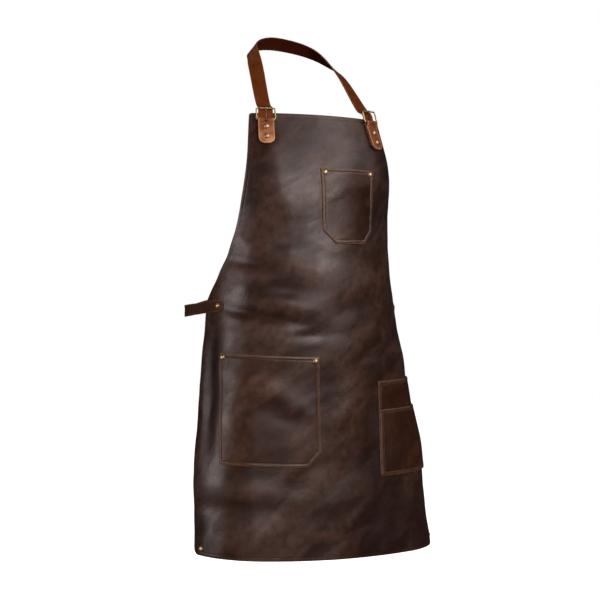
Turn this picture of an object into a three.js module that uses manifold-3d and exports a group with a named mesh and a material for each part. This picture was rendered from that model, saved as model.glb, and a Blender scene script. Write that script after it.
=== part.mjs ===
// A worn leather apron: one shaped panel, four pocket pieces, a buckled neck strap and two waist loops.
// Millimetres, +Z up, front towards -Y. The origin is where the neck strap lies against the nape.

import * as THREE from 'three';
import { mergeVertices } from 'three/addons/utils/BufferGeometryUtils.js';
import Module from 'manifold-3d';

const wasm = await Module();
wasm.setup();

// Overall places
const HEM_LEVEL = -998.5;
const BIB_TOP = 834.5;
const PANEL_THICKNESS = 2;
const GAP = 0.3;

// The panel's level sections, from the hem up: height, depth of the mid-line, radius of the front arc,
// turn of the leather at the section's half width, and that half width along the leather.
const FRONT_SHARE = 0.55;
const SECTIONS = [
  { height: 0, front: -271.5, radius: 1015, turn: 78, half: 299.5 },
  { height: 230, front: -262, radius: 443, turn: 94, half: 299.5 },
  { height: 476, front: -256, radius: 238, turn: 92, half: 278 },
  { height: 620, front: -241, radius: 236, turn: 73, half: 230 },
  { height: 740, front: -226.5, radius: 462, turn: 50.5, half: 180 },
  { height: 832, front: -197, radius: 411, turn: 28, half: 150 },
];

// The cut edge: half width of the leather at each height, as a straight skirt and a curved armhole.
const WAIST_CORNER = 473;
const SKIRT_EDGE = [
  { height: 0, half: 299.5 },
  { height: 240, half: 299.5 },
  { height: 360, half: 290 },
  { height: WAIST_CORNER, half: 272 },
];
const ARMHOLE_EDGE = [
  { height: WAIST_CORNER, half: 272 },
  { height: 530, half: 231 },
  { height: 610, half: 191 },
  { height: 740, half: 164 },
  { height: BIB_TOP, half: 144 },
];
const HEM_CORNER = 12;
const BIB_CORNER = 5;

// How far the level lines rise towards the sides, at SIDE_REACH from the mid-line
const SIDE_REACH = 300;
const SIDE_LIFT = [
  { height: 0, lift: 15 },
  { height: 476, lift: 12 },
  { height: BIB_TOP, lift: -4.5 },
];

// Folds and dents: place on the leather, direction from level, half length, half width and height.
const FOLDS = [
  { across: -152, height: 456, angle: -9, length: 54, width: 14, rise: -5 },
  { across: -158, height: 486, angle: -7, length: 50, width: 14, rise: 3.5 },
  { across: -115, height: 507, angle: -13, length: 62, width: 18, rise: -3.5 },
  { across: -152, height: 543, angle: -10, length: 60, width: 20, rise: 3.5 },
  { across: -52, height: 558, angle: 25, length: 55, width: 22, rise: 3 },
  { across: 60, height: 470, angle: 8, length: 90, width: 22, rise: -2.5 },
  { across: 75, height: 515, angle: 14, length: 80, width: 24, rise: 2 },
  { across: -256, height: 295, angle: 88, length: 110, width: 16, rise: -5 },
  { across: -280, height: 288, angle: 88, length: 120, width: 12, rise: 2.5 },
  { across: -190, height: 120, angle: 12, length: 70, width: 26, rise: -3 },
  { across: 20, height: 250, angle: 84, length: 190, width: 34, rise: 3 },
  { across: 70, height: 230, angle: 92, length: 170, width: 26, rise: -2.5 },
];

// Pockets: left, right, bottom and top on the leather, with the cut of each bottom corner
const POCKET_THICKNESS = 1.8;
const POCKET_BULGE = 2.4;
const POCKET_CELL = 14.5;
const SEAM_GAP = 0.5;
const CHEST_POCKET = { left: -20, right: 100, bottom: 588, top: 730, cutLeft: 25, cutRight: 26 };
const HIP_POCKET = { left: -232, right: -39, bottom: 171, top: 375, cutLeft: 3, cutRight: 27 };
const TOOL_POCKET = { left: 95, right: 235, bottom: 147, top: 327, cutLeft: 3, cutRight: 3 };
const TOOL_FRONT = { left: 96.5, right: 233.5, bottom: 148.5, top: 273, cutLeft: 3, cutRight: 3 };
const POCKET_RIVET_INSET = 8;

// Strap tabs and buckles on the bib: each tab is folded round the bottom bar of its buckle, and the
// viewer's right one is the longer
const TAB_ACROSS = 117;
const TAB_LEAN = 0.12;
const TAB_WIDTH = 29.5;
const TAB_LEATHER = 2;
const TAB_END = 773;
const TAB_ROUND = 9;
const TAB_RIVETS = [786, 805];
const BAR_RADIUS = 1.5;
const BAR_CLEARANCE = 0.6;
const LEFT_BAR = 818;
const RIGHT_BAR = 825.5;
const BUCKLE_HEIGHT = 23;
const BUCKLE_WIDTH = 35.5;
const BUCKLE_CORNER = 0.2;
const PRONG_RADIUS = 0.9;
const PRONG_SLOT = { width: 5, height: 14, depth: 16, rise: 3 };

// Neck strap: its tail between bib and tab, by height and distance from the panel's face, and then half
// of its course from the buckle to the nape, with the roll of its width there
const STRAP_WIDTH = 28;
const STRAP_THICKNESS = 2.4;
const STRAP_TAIL = [
  { height: 780, offset: 1.5 },
  { height: 800, offset: 1.5 },
  { height: 824, offset: 1.5 },
  { height: 843, offset: 1.5 },
];
const STRAP_COURSE = [
  { x: 109, y: -166.5, z: -147.5, roll: 3.5 },
  { x: 93, y: -106, z: -71, roll: -13.5 },
  { x: 80, y: -69, z: -40, roll: -40 },
  { x: 69, y: -41.5, z: -22.5, roll: -47.5 },
  { x: 44, y: -17.5, z: -8.7, roll: -51.5 },
];
const NAPE_ROLL = -55.5;

// Waist loops: a folded strip riveted through the panel, given for the right and mirrored
const LOOP_WIDTH = 22;
const LOOP_THICKNESS = 2;
const LOOP_GAP = 0.7;
const LOOP_HEIGHT = 463;
const LOOP_INNER_END = 225;
const LOOP_RIVET = 237;
const LOOP_EDGE = 277;
const LOOP_REACH = 68;
const LOOP_TURN = 80;
const LOOP_HALF_GAP = 7.5;
const LOOP_DROOP = 7.5;
const LOOP_FRONT_DROP = 6;
const LOOP_BACK_DROP = 1.5;

// Rivets
const RIVET_CAP = 5.4;
const RIVET_DOME = 2.4;
const RIVET_POST = 2;
const RIVET_HOLE = 2.45;
const RIVET_DRILL = 40;
const RIVET_BACK = 4.4;
const RIVET_BACK_THICKNESS = 1;
const RIVET_GAP = 0.7;
const HEM_RIVET = { across: 280, height: 12 };

// Finishes
const PANEL_LEATHER = { color: 0x3a2a23, roughness: 0.5, metalness: 0 };
const STRAP_LEATHER = { color: 0x7a4526, roughness: 0.5, metalness: 0 };
const BRASS = { color: 0xb08d57, roughness: 0.35, metalness: 1 };

const radians = THREE.MathUtils.degToRad;
const apron = new THREE.Group();
apron.name = 'leather_apron';

// Smooth value of one column of a table at a height, straight on beyond its ends
function column(rows, name, height) {
  const last = rows.length - 1;
  let k = 0;
  while (k < last - 1 && height > rows[k + 1].height) k += 1;
  const slope = (i) => {
    const a = rows[Math.max(i - 1, 0)];
    const b = rows[Math.min(i + 1, last)];
    return (b[name] - a[name]) / (b.height - a.height);
  };
  const span = rows[k + 1].height - rows[k].height;
  const t = (height - rows[k].height) / span;
  if (t < 0) return rows[k][name] + slope(k) * t * span;
  if (t > 1) return rows[k + 1][name] + slope(k + 1) * (t - 1) * span;
  const s = t * t * (3 - 2 * t);
  const from = t * (1 - t) * (1 - t) * span * slope(k);
  const to = t * t * (t - 1) * span * slope(k + 1);
  return rows[k][name] * (1 - s) + rows[k + 1][name] * s + from + to;
}

const CURVED_SECTIONS = SECTIONS.map((row) => ({ ...row, curve: 1 / row.radius }));

function halfWidth(height) {
  return column(height < WAIST_CORNER ? SKIRT_EDGE : ARMHOLE_EDGE, 'half', height);
}

// Height of the folds above the plain leather
function foldRise(across, height) {
  return FOLDS.reduce((sum, fold) => {
    const c = Math.cos(radians(fold.angle));
    const s = Math.sin(radians(fold.angle));
    const along = (across - fold.across) * c + (height - fold.height) * s;
    const beside = (height - fold.height) * c - (across - fold.across) * s;
    return sum + fold.rise * Math.exp(-((along / fold.length) ** 2) - (beside / fold.width) ** 2);
  }, 0);
}

// The panel's front face before its folds: a front arc that runs on into a tighter side arc
function plainPoint(across, height) {
  const half = column(SECTIONS, 'half', height);
  const curve = column(CURVED_SECTIONS, 'curve', height);
  const turn = radians(column(SECTIONS, 'turn', height));
  const frontHalf = FRONT_SHARE * half;
  const sideCurve = (turn - curve * frontHalf) / (half - frontHalf);
  const reach = Math.abs(across);
  const frontTurn = curve * Math.min(reach, frontHalf);
  let x = Math.sin(frontTurn) / curve;
  let y = (1 - Math.cos(frontTurn)) / curve;
  if (reach > frontHalf) {
    const sideTurn = frontTurn + sideCurve * (reach - frontHalf);
    x += (Math.sin(sideTurn) - Math.sin(frontTurn)) / sideCurve;
    y += (Math.cos(frontTurn) - Math.cos(sideTurn)) / sideCurve;
  }
  const lift = column(SIDE_LIFT, 'lift', height) * (across / SIDE_REACH) ** 2;
  const depth = column(SECTIONS, 'front', height);
  return new THREE.Vector3(Math.sign(across) * x, depth + y, HEM_LEVEL + height + lift);
}

// Directions of the leather at a place: across it, up it and out of it
function panelAxes(across, height) {
  const step = 0.5;
  const right = plainPoint(across + step, height).sub(plainPoint(across - step, height)).normalize();
  const up = plainPoint(across, height + step).sub(plainPoint(across, height - step)).normalize();
  const out = new THREE.Vector3().crossVectors(right, up).normalize();
  return { right, up, out };
}

// A point at a distance in front of the panel's front face, folds included
function panelPoint(across, height, offset) {
  const { out } = panelAxes(across, height);
  return plainPoint(across, height).addScaledVector(out, offset + foldRise(across, height));
}

// Placing matrix at a point of the panel, with +Z out of the leather
function panelFrame(across, height, offset) {
  const { up, out } = panelAxes(across, height);
  const side = new THREE.Vector3().crossVectors(up, out).normalize();
  const frame = new THREE.Matrix4().makeBasis(side, new THREE.Vector3().crossVectors(out, side), out);
  return frame.setPosition(panelPoint(across, height, offset));
}

// Position-only geometry with shared corners, as the solid cuts need it
function bare(geometry) {
  const copy = geometry.clone();
  copy.deleteAttribute('normal');
  copy.deleteAttribute('uv');
  return mergeVertices(copy, 1e-3);
}

// A closed sheet: a box of cells whose corners are placed by (column, row, front or back)
function sheet(columns, rows, place) {
  const geometry = new THREE.BoxGeometry(1, 1, 1, columns, rows, 1);
  const corner = geometry.attributes.position;
  for (let i = 0; i < corner.count; i += 1) {
    const point = place(corner.getX(i) + 0.5, corner.getY(i) + 0.5, corner.getZ(i) > 0);
    corner.setXYZ(i, point.x, point.y, point.z);
  }
  return bare(geometry);
}

function toSolid(geometry) {
  const vertProperties = Float32Array.from(geometry.attributes.position.array);
  const triVerts = Uint32Array.from(geometry.index.array);
  return new wasm.Manifold(new wasm.Mesh({ numProp: 3, vertProperties, triVerts }));
}

function toGeometry(solid) {
  const mesh = solid.getMesh();
  const geometry = new THREE.BufferGeometry();
  geometry.setAttribute('position', new THREE.BufferAttribute(mesh.vertProperties, 3));
  geometry.setIndex(new THREE.BufferAttribute(mesh.triVerts, 1));
  return geometry;
}

function cut(geometry, tools) {
  return toGeometry(tools.reduce((solid, tool) => solid.subtract(toSolid(tool)), toSolid(geometry)));
}

function addPiece(name, geometry, finish) {
  geometry.computeVertexNormals();
  const mesh = new THREE.Mesh(geometry, new THREE.MeshStandardMaterial(finish));
  mesh.name = name;
  apron.add(mesh);
}

// A round hole for a rivet's post through all the leather at a place
function rivetHole(across, height) {
  const drill = new THREE.CylinderGeometry(RIVET_HOLE, RIVET_HOLE, RIVET_DRILL, 7);
  drill.rotateX(Math.PI / 2);
  return bare(drill).applyMatrix4(panelFrame(across, height, 0));
}

// A rivet: back plate, post and domed cap, for a stack between two distances from the panel's face
function rivet(across, height, back, front) {
  const under = back - RIVET_GAP;
  const over = front + RIVET_GAP;
  const profile = [
    new THREE.Vector2(0, under - RIVET_BACK_THICKNESS),
    new THREE.Vector2(RIVET_BACK, under - RIVET_BACK_THICKNESS),
    new THREE.Vector2(RIVET_BACK, under),
    new THREE.Vector2(RIVET_POST, under),
    new THREE.Vector2(RIVET_POST, over),
    new THREE.Vector2(RIVET_CAP, over),
  ];
  const domeSteps = 3;
  for (let k = 1; k <= domeSteps; k += 1) {
    const angle = (k / domeSteps) * (Math.PI / 2);
    profile.push(new THREE.Vector2(RIVET_CAP * Math.cos(angle), over + RIVET_DOME * Math.sin(angle)));
  }
  profile[profile.length - 1].x = 0;
  const dome = new THREE.LatheGeometry(profile, 8);
  dome.rotateX(Math.PI / 2);
  return bare(dome).applyMatrix4(panelFrame(across, height, 0));
}

// The panel, with its hem and bib corners rounded
function cornerRise(inset, radius) {
  const into = Math.max(radius - inset, 0);
  return radius - Math.sqrt(radius * radius - into * into);
}

function panelGeometry() {
  const columns = 28;
  const rows = 32;
  return sheet(columns, rows, (a, b, front) => {
    const t = 2 * a - 1;
    const share = t * (1.25 - 0.25 * t * t);
    const level = b * BIB_TOP;
    const across = share * halfWidth(level);
    const inset = halfWidth(level) - Math.abs(across);
    const lower = cornerRise(inset, HEM_CORNER) * Math.max(1 - (b * rows) / 2, 0);
    const upper = cornerRise(inset, BIB_CORNER) * Math.max(1 - ((1 - b) * rows) / 2, 0);
    return panelPoint(across, level + lower - upper, front ? 0 : -PANEL_THICKNESS);
  });
}

// How far a pocket stands off the panel at a place: least at its sewn edges, most at the mouth
function pocketBulge(pocket, across, height) {
  const a = THREE.MathUtils.clamp((across - pocket.left) / (pocket.right - pocket.left), 0, 1);
  const b = THREE.MathUtils.clamp((height - pocket.bottom) / (pocket.top - pocket.bottom), 0, 1);
  return POCKET_BULGE * Math.sin(Math.PI * a) * Math.sin(0.5 * Math.PI * b);
}

function pocketGeometry(pocket, standoff) {
  const { left, right, bottom, top, cutLeft, cutRight } = pocket;
  const stops = [left, left + cutLeft, right - cutRight, right];
  const places = stops.slice(0, -1).flatMap((from, k) => {
    const cells = Math.ceil((stops[k + 1] - from) / POCKET_CELL);
    return Array.from({ length: cells }, (_, n) => from + (n / cells) * (stops[k + 1] - from));
  });
  places.push(right);
  const columns = places.length - 1;
  const rows = Math.round((top - bottom) / (1.5 * POCKET_CELL));
  return sheet(columns, rows, (a, b, front) => {
    const across = places[Math.round(a * columns)];
    const rise = Math.max(left + cutLeft - across, across - right + cutRight, 0);
    const height = bottom + rise + b * (top - bottom - rise);
    return panelPoint(across, height, standoff(across, height) + (front ? POCKET_THICKNESS : 0));
  });
}

// Mid-line of a strap tab at a height, on one side
function tabAcross(side, height) {
  return side * (TAB_ACROSS + TAB_LEAN * (TAB_RIVETS[1] - height));
}

// Placing matrix on a leaning tab's mid-line: +X across it, +Y up along it, +Z out of the leather
function tabFrame(side, height, offset) {
  const above = plainPoint(tabAcross(side, height + 1), height + 1);
  const up = above.sub(plainPoint(tabAcross(side, height - 1), height - 1)).normalize();
  const { out } = panelAxes(tabAcross(side, height), height);
  const crosswise = new THREE.Vector3().crossVectors(up, out).normalize();
  const frame = new THREE.Matrix4().makeBasis(crosswise, up, out);
  return frame.setPosition(panelPoint(tabAcross(side, height), height, offset));
}

// Distances of the tab's layers and the buckle's bars from the panel's face
const TAB_BACK = GAP + STRAP_THICKNESS + GAP + TAB_LEATHER / 2;
const FOLD_RADIUS = BAR_RADIUS + BAR_CLEARANCE + TAB_LEATHER / 2;
const BUCKLE_PLANE = TAB_BACK + FOLD_RADIUS;
const TAB_FLAT = TAB_BACK + TAB_LEATHER + GAP;
const TAB_STACK = TAB_FLAT + TAB_LEATHER / 2;

// Height of the buckle's bottom bar on one side, inside the tab's fold
function bottomBar(side) {
  return side < 0 ? LEFT_BAR : RIGHT_BAR;
}

// The tab's course seen from the side: front layer up to the buckle's bar, round it, and down the back
function tabCourse(side) {
  const bar = bottomBar(side);
  const course = [
    [TAB_END, TAB_FLAT],
    [TAB_END + 3, TAB_FLAT],
    [TAB_END + TAB_ROUND, TAB_FLAT],
    [TAB_RIVETS[0], TAB_FLAT],
    [bar - 7, TAB_FLAT],
    [bar - 3, BUCKLE_PLANE + FOLD_RADIUS - 1],
  ];
  const foldSteps = 6;
  for (let k = 0; k <= foldSteps; k += 1) {
    const angle = (k / foldSteps) * Math.PI;
    const offset = BUCKLE_PLANE + FOLD_RADIUS * Math.cos(angle);
    course.push([bar + FOLD_RADIUS * Math.sin(angle), offset]);
  }
  course.push([TAB_RIVETS[1], TAB_BACK], [TAB_RIVETS[0], TAB_BACK]);
  course.push([TAB_END + TAB_ROUND, TAB_BACK], [TAB_END + 3, TAB_BACK], [TAB_END, TAB_BACK]);
  return course.map(([height, offset]) => new THREE.Vector2(height, offset));
}

function tabHalfWidth(height) {
  const short = Math.max(TAB_END + TAB_ROUND - height, 0) / TAB_ROUND;
  return (TAB_WIDTH / 2) * Math.sqrt(1 - 0.75 * short * short);
}

function tabHoles(side) {
  return TAB_RIVETS.map((height) => rivetHole(tabAcross(side, height), height));
}

function tabGeometry(side) {
  const course = tabCourse(side);
  const rows = course.length - 1;
  const solid = sheet(2, rows, (a, b, front) => {
    const k = Math.round(b * rows);
    const ahead = course[Math.min(k + 1, rows)];
    const behind = course[Math.max(k - 1, 0)];
    const along = ahead.clone().sub(behind).normalize();
    const shift = (front ? 0.5 : -0.5) * TAB_LEATHER;
    const height = course[k].x - along.y * shift;
    const offset = course[k].y + along.x * shift;
    const sideways = (2 * a - 1) * tabHalfWidth(course[k].x);
    return new THREE.Vector3(sideways, 0, 0).applyMatrix4(tabFrame(side, height, offset));
  });
  const slot = new THREE.BoxGeometry(PRONG_SLOT.width, PRONG_SLOT.height, PRONG_SLOT.depth);
  slot.translate(0, PRONG_SLOT.rise, 0);
  slot.applyMatrix4(tabFrame(side, bottomBar(side), BUCKLE_PLANE));
  return cut(solid, [bare(slot), ...tabHoles(side)]);
}

// The buckle: a ring bent to a rounded rectangle
function buckleFrame(side) {
  return tabFrame(side, bottomBar(side) + BUCKLE_HEIGHT / 2, BUCKLE_PLANE);
}

function roundedRectangle(angle, halfAcross, halfUp) {
  const c = Math.cos(angle);
  const s = Math.sin(angle);
  const bend = (v) => Math.sign(v) * Math.abs(v) ** BUCKLE_CORNER;
  return new THREE.Vector2(halfAcross * bend(c), halfUp * bend(s));
}

function buckleGeometry(side) {
  const ringRadius = 10;
  const halfUp = BUCKLE_HEIGHT / 2;
  const ring = bare(new THREE.TorusGeometry(ringRadius, BAR_RADIUS, 6, 32));
  const corner = ring.attributes.position;
  for (let i = 0; i < corner.count; i += 1) {
    const angle = Math.atan2(corner.getY(i), corner.getX(i));
    const outwards = Math.hypot(corner.getX(i), corner.getY(i)) - ringRadius;
    const centre = roundedRectangle(angle, BUCKLE_WIDTH / 2, halfUp);
    const away = roundedRectangle(angle + 0.01, BUCKLE_WIDTH / 2, halfUp)
      .sub(roundedRectangle(angle - 0.01, BUCKLE_WIDTH / 2, halfUp)).normalize();
    corner.setXY(i, centre.x + away.y * outwards, centre.y - away.x * outwards);
  }
  return ring.applyMatrix4(buckleFrame(side));
}

// The prong: hooked round the bottom bar and lying on the top bar
function prongGeometry(side) {
  const hook = BAR_RADIUS + GAP + PRONG_RADIUS;
  const bar = -BUCKLE_HEIGHT / 2;
  const top = BUCKLE_HEIGHT / 2;
  const points = [
    new THREE.Vector3(0, bar + 0.5 * hook, -0.87 * hook),
    new THREE.Vector3(0, bar - 0.5 * hook, -0.87 * hook),
    new THREE.Vector3(0, bar - hook, 0),
    new THREE.Vector3(0, bar - 0.5 * hook, 0.87 * hook),
    new THREE.Vector3(0, bar + 0.7 * hook, 1.05 * hook),
    new THREE.Vector3(0, top, 1.12 * hook),
    new THREE.Vector3(0, top + 2, 1.05 * hook),
  ];
  const section = new THREE.Shape().absarc(0, 0, PRONG_RADIUS, 0, 2 * Math.PI);
  const path = new THREE.CatmullRomCurve3(points);
  const rod = new THREE.ExtrudeGeometry(section, { steps: 12, curveSegments: 3, extrudePath: path });
  return bare(rod).applyMatrix4(buckleFrame(side));
}

// A flat strip along a course, with its width turned along a second curve
function strip(course, widths, width, thickness, steps) {
  const path = new THREE.CatmullRomCurve3(course);
  const turn = new THREE.CatmullRomCurve3(widths);
  return sheet(1, steps, (a, b, front) => {
    const along = path.getTangent(b);
    const wide = turn.getPoint(b);
    wide.addScaledVector(along, -wide.dot(along)).normalize();
    const out = new THREE.Vector3().crossVectors(wide, along);
    const point = path.getPoint(b).addScaledVector(wide, (a - 0.5) * width);
    return point.addScaledVector(out, (front ? 0.5 : -0.5) * thickness);
  });
}

// The neck strap, from one tail under its tab over the nape to the other
function strapGeometry() {
  const half = [];
  STRAP_TAIL.forEach(({ height, offset }) => {
    const frame = tabFrame(1, height, offset);
    const wide = new THREE.Vector3().setFromMatrixColumn(frame, 0);
    half.push({ point: new THREE.Vector3().setFromMatrixPosition(frame), wide });
  });
  const places = [...STRAP_COURSE, { x: 0, y: STRAP_THICKNESS / 2, z: 0, roll: NAPE_ROLL }];
  places.forEach((place, k) => {
    const next = places[k + 1] ?? { x: -places[k - 1].x, y: places[k - 1].y, z: places[k - 1].z };
    const before = k > 0 ? places[k - 1] : half[half.length - 1].point;
    const along = new THREE.Vector3(next.x - before.x, next.y - before.y, next.z - before.z).normalize();
    const level = new THREE.Vector3().crossVectors(along, new THREE.Vector3(0, 0, 1)).normalize();
    const steep = new THREE.Vector3().crossVectors(level, along);
    const wide = level.multiplyScalar(Math.cos(radians(place.roll)));
    wide.addScaledVector(steep, Math.sin(radians(place.roll)));
    half.push({ point: new THREE.Vector3(place.x, place.y, place.z), wide });
  });
  const other = half.slice(0, -1).reverse().map(({ point, wide }) => ({
    point: point.clone().setX(-point.x),
    wide: wide.clone().setX(-wide.x),
  }));
  const whole = [...half, ...other];
  const solid = strip(whole.map((k) => k.point), whole.map((k) => k.wide), STRAP_WIDTH, STRAP_THICKNESS, 60);
  return cut(solid, [...tabHoles(-1), ...tabHoles(1)]);
}

// A waist loop: along the panel's front, out past its edge, round and back along its inside
function loopGeometry(side) {
  const frontOffset = LOOP_GAP + LOOP_THICKNESS / 2;
  const backOffset = -PANEL_THICKNESS - LOOP_GAP - LOOP_THICKNESS / 2;
  const laid = [0, 0.25, 0.5, 0.75, 1].map((k) => LOOP_INNER_END + k * (LOOP_EDGE - LOOP_INNER_END));
  const sunk = (across) => (across - LOOP_RIVET) / (LOOP_EDGE - LOOP_RIVET);
  const layer = (drop, offset) => laid.map((across) => (
    panelPoint(side * across, LOOP_HEIGHT - drop * sunk(across), offset)));
  const front = layer(LOOP_FRONT_DROP, frontOffset);
  const back = layer(LOOP_BACK_DROP, backOffset);
  const turn = radians(LOOP_TURN);
  const ahead = new THREE.Vector3(side * Math.cos(turn), Math.sin(turn), 0);
  const aside = new THREE.Vector3(side * Math.sin(turn), -Math.cos(turn), 0);
  const start = panelPoint(side * LOOP_EDGE, LOOP_HEIGHT, -PANEL_THICKNESS / 2);
  const free = [[0.3, 0.75], [0.55, 1], [0.85, 0.85], [1, 0], [0.85, -0.85], [0.55, -1], [0.3, -0.75]];
  const bow = free.map(([out, gap], k) => start.clone()
    .addScaledVector(ahead, out * LOOP_REACH)
    .addScaledVector(aside, gap * LOOP_HALF_GAP)
    .setZ(THREE.MathUtils.lerp(front[4].z, back[4].z, k / (free.length - 1)) - out * LOOP_DROOP));
  const course = [...front, ...bow, ...back.reverse()];
  const up = laid.map((across) => panelAxes(side * across, LOOP_HEIGHT).up.multiplyScalar(side));
  const wide = [...up, ...bow.map(() => up[up.length - 1]), ...up.slice().reverse()];
  const solid = strip(course, wide, LOOP_WIDTH, LOOP_THICKNESS, 36);
  return cut(solid, [rivetHole(side * LOOP_RIVET, LOOP_HEIGHT)]);
}

// Rivets: name, place, and the stack of leather that each one holds
const rivets = [];
const pocketStack = SEAM_GAP + POCKET_THICKNESS;
const loopStack = LOOP_GAP + LOOP_THICKNESS;
[['chest', CHEST_POCKET], ['hip', HIP_POCKET]].forEach(([name, pocket]) => {
  const height = pocket.top - POCKET_RIVET_INSET;
  const ends = [['left', pocket.left + POCKET_RIVET_INSET], ['right', pocket.right - POCKET_RIVET_INSET]];
  ends.forEach(([end, across]) => {
    const front = pocketStack + pocketBulge(pocket, across, height);
    rivets.push({ name: `rivet_${name}_${end}`, across, height, back: -PANEL_THICKNESS, front });
  });
});
[['left', -1], ['right', 1]].forEach(([end, side]) => {
  [['lower', 0], ['upper', 1]].forEach(([level, k]) => {
    const height = TAB_RIVETS[k];
    const across = tabAcross(side, height);
    rivets.push({ name: `rivet_tab_${end}_${level}`, across, height, back: -PANEL_THICKNESS, front: TAB_STACK });
  });
  const waist = { name: `rivet_waist_${end}`, across: side * LOOP_RIVET, height: LOOP_HEIGHT };
  rivets.push({ ...waist, back: -PANEL_THICKNESS - loopStack, front: loopStack });
  const hem = { name: `rivet_hem_${end}`, across: side * HEM_RIVET.across, height: HEM_RIVET.height };
  rivets.push({ ...hem, back: -PANEL_THICKNESS, front: 0 });
});
const holeAt = ({ across, height }) => rivetHole(across, height);
const holesOf = (start) => rivets.filter(({ name }) => name.startsWith(start)).map(holeAt);

// Assembly
const sewn = (pocket) => (across, height) => SEAM_GAP + pocketBulge(pocket, across, height);
const overTool = (across, height) => sewn(TOOL_POCKET)(across, height) + POCKET_THICKNESS
  + SEAM_GAP + 0.5 * pocketBulge(TOOL_FRONT, across, height);
addPiece('apron_panel', cut(panelGeometry(), rivets.map(holeAt)), PANEL_LEATHER);
const chest = pocketGeometry(CHEST_POCKET, sewn(CHEST_POCKET));
addPiece('chest_pocket', cut(chest, holesOf('rivet_chest')), PANEL_LEATHER);
const hip = pocketGeometry(HIP_POCKET, sewn(HIP_POCKET));
addPiece('hip_pocket', cut(hip, holesOf('rivet_hip')), PANEL_LEATHER);
addPiece('tool_pocket_back', pocketGeometry(TOOL_POCKET, sewn(TOOL_POCKET)), PANEL_LEATHER);
addPiece('tool_pocket_front', pocketGeometry(TOOL_FRONT, overTool), PANEL_LEATHER);
addPiece('neck_strap', strapGeometry(), STRAP_LEATHER);
[['left', -1], ['right', 1]].forEach(([end, side]) => {
  addPiece(`strap_tab_${end}`, tabGeometry(side), STRAP_LEATHER);
  addPiece(`buckle_${end}`, buckleGeometry(side), BRASS);
  addPiece(`buckle_prong_${end}`, prongGeometry(side), BRASS);
  addPiece(`waist_loop_${end}`, loopGeometry(side), PANEL_LEATHER);
});
rivets.forEach(({ name, across, height, back, front }) => {
  addPiece(name, rivet(across, height, back, front), BRASS);
});

export default apron;
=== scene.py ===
"""A worn leather apron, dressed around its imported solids.

Sizes are in millimetres along the leather: heights run up from the hem, and across runs from the
mid-line, to the right of someone looking at the front. Meshes are in metres in the frame of the solids.
"""

from __future__ import annotations

import logging
import math
from dataclasses import dataclass, field
from enum import Enum
from typing import Callable, NamedTuple, Sequence

import bmesh
import bpy
import numpy as np
from mathutils import Matrix, Vector, noise


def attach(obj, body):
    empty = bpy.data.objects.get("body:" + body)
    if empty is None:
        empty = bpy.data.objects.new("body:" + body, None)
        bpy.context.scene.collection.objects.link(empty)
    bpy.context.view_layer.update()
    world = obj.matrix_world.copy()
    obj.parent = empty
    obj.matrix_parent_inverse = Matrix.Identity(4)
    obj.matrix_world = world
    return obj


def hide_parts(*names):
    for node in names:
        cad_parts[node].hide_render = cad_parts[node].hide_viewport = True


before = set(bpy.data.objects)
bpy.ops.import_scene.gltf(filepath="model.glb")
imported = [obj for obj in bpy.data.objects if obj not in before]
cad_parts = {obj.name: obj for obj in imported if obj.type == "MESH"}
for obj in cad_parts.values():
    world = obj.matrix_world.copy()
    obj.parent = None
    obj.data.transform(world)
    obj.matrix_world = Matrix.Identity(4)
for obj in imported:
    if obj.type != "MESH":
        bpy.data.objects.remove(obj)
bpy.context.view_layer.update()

MM = 0.001
BODY = "root"
LOG = logging.getLogger("apron")

# Distances between layers of a pocket, and from a seam's end to the next pocket
LAYER_GAP = 0.5
SEAM_CLEAR = 3

# Where a sheet lies in its thickness
OUTER_FACE = -1.0
MIDDLE = 0.0

# Softened edges of the leather
BEVEL_SEGMENTS = 2
BEVEL_ANGLE = math.radians(50)

WHITE = (1, 1, 1, 1)

# Points closer than this are one point, in metres
SAME_POINT = 1e-6

Array = np.ndarray
Mesh = bmesh.types.BMesh
Piece = bpy.types.Object
Material = bpy.types.Material
Socket = bpy.types.NodeSocket
Colour = tuple[float, float, float, float]
Table = Sequence[tuple[float, float]]
Placed = tuple[np.ndarray, dict[str, np.ndarray]]
Placer = Callable[[np.ndarray, np.ndarray], Placed]


class Side(Enum):
    """The two mirrored sides of the apron, as the viewer sees them."""

    LEFT = -1
    RIGHT = 1

    @property
    def label(self) -> str:
        """Lower-case name of the side, as the solids use it."""
        return self.name.lower()


class Slot(Enum):
    """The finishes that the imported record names."""

    APRON = "apron_leather"
    STRAP = "strap_leather"
    BRASS = "brass"


class Join(Enum):
    """How two values of a finish are put together."""

    ADD = "ADD"
    MULTIPLY = "MULTIPLY"
    MAXIMUM = "MAXIMUM"


class Section(NamedTuple):
    """One level section of the panel."""

    height: float
    front: float
    radius: float
    turn: float
    half: float


class Fold(NamedTuple):
    """A soft ridge or dent in the leather."""

    across: float
    height: float
    angle: float
    length: float
    width: float
    rise: float


class Ripple(NamedTuple):
    """One layer of uneven streaks in the hide, between two heights."""

    angle: float
    length: float
    width: float
    rise: float
    low: float
    high: float


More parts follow.
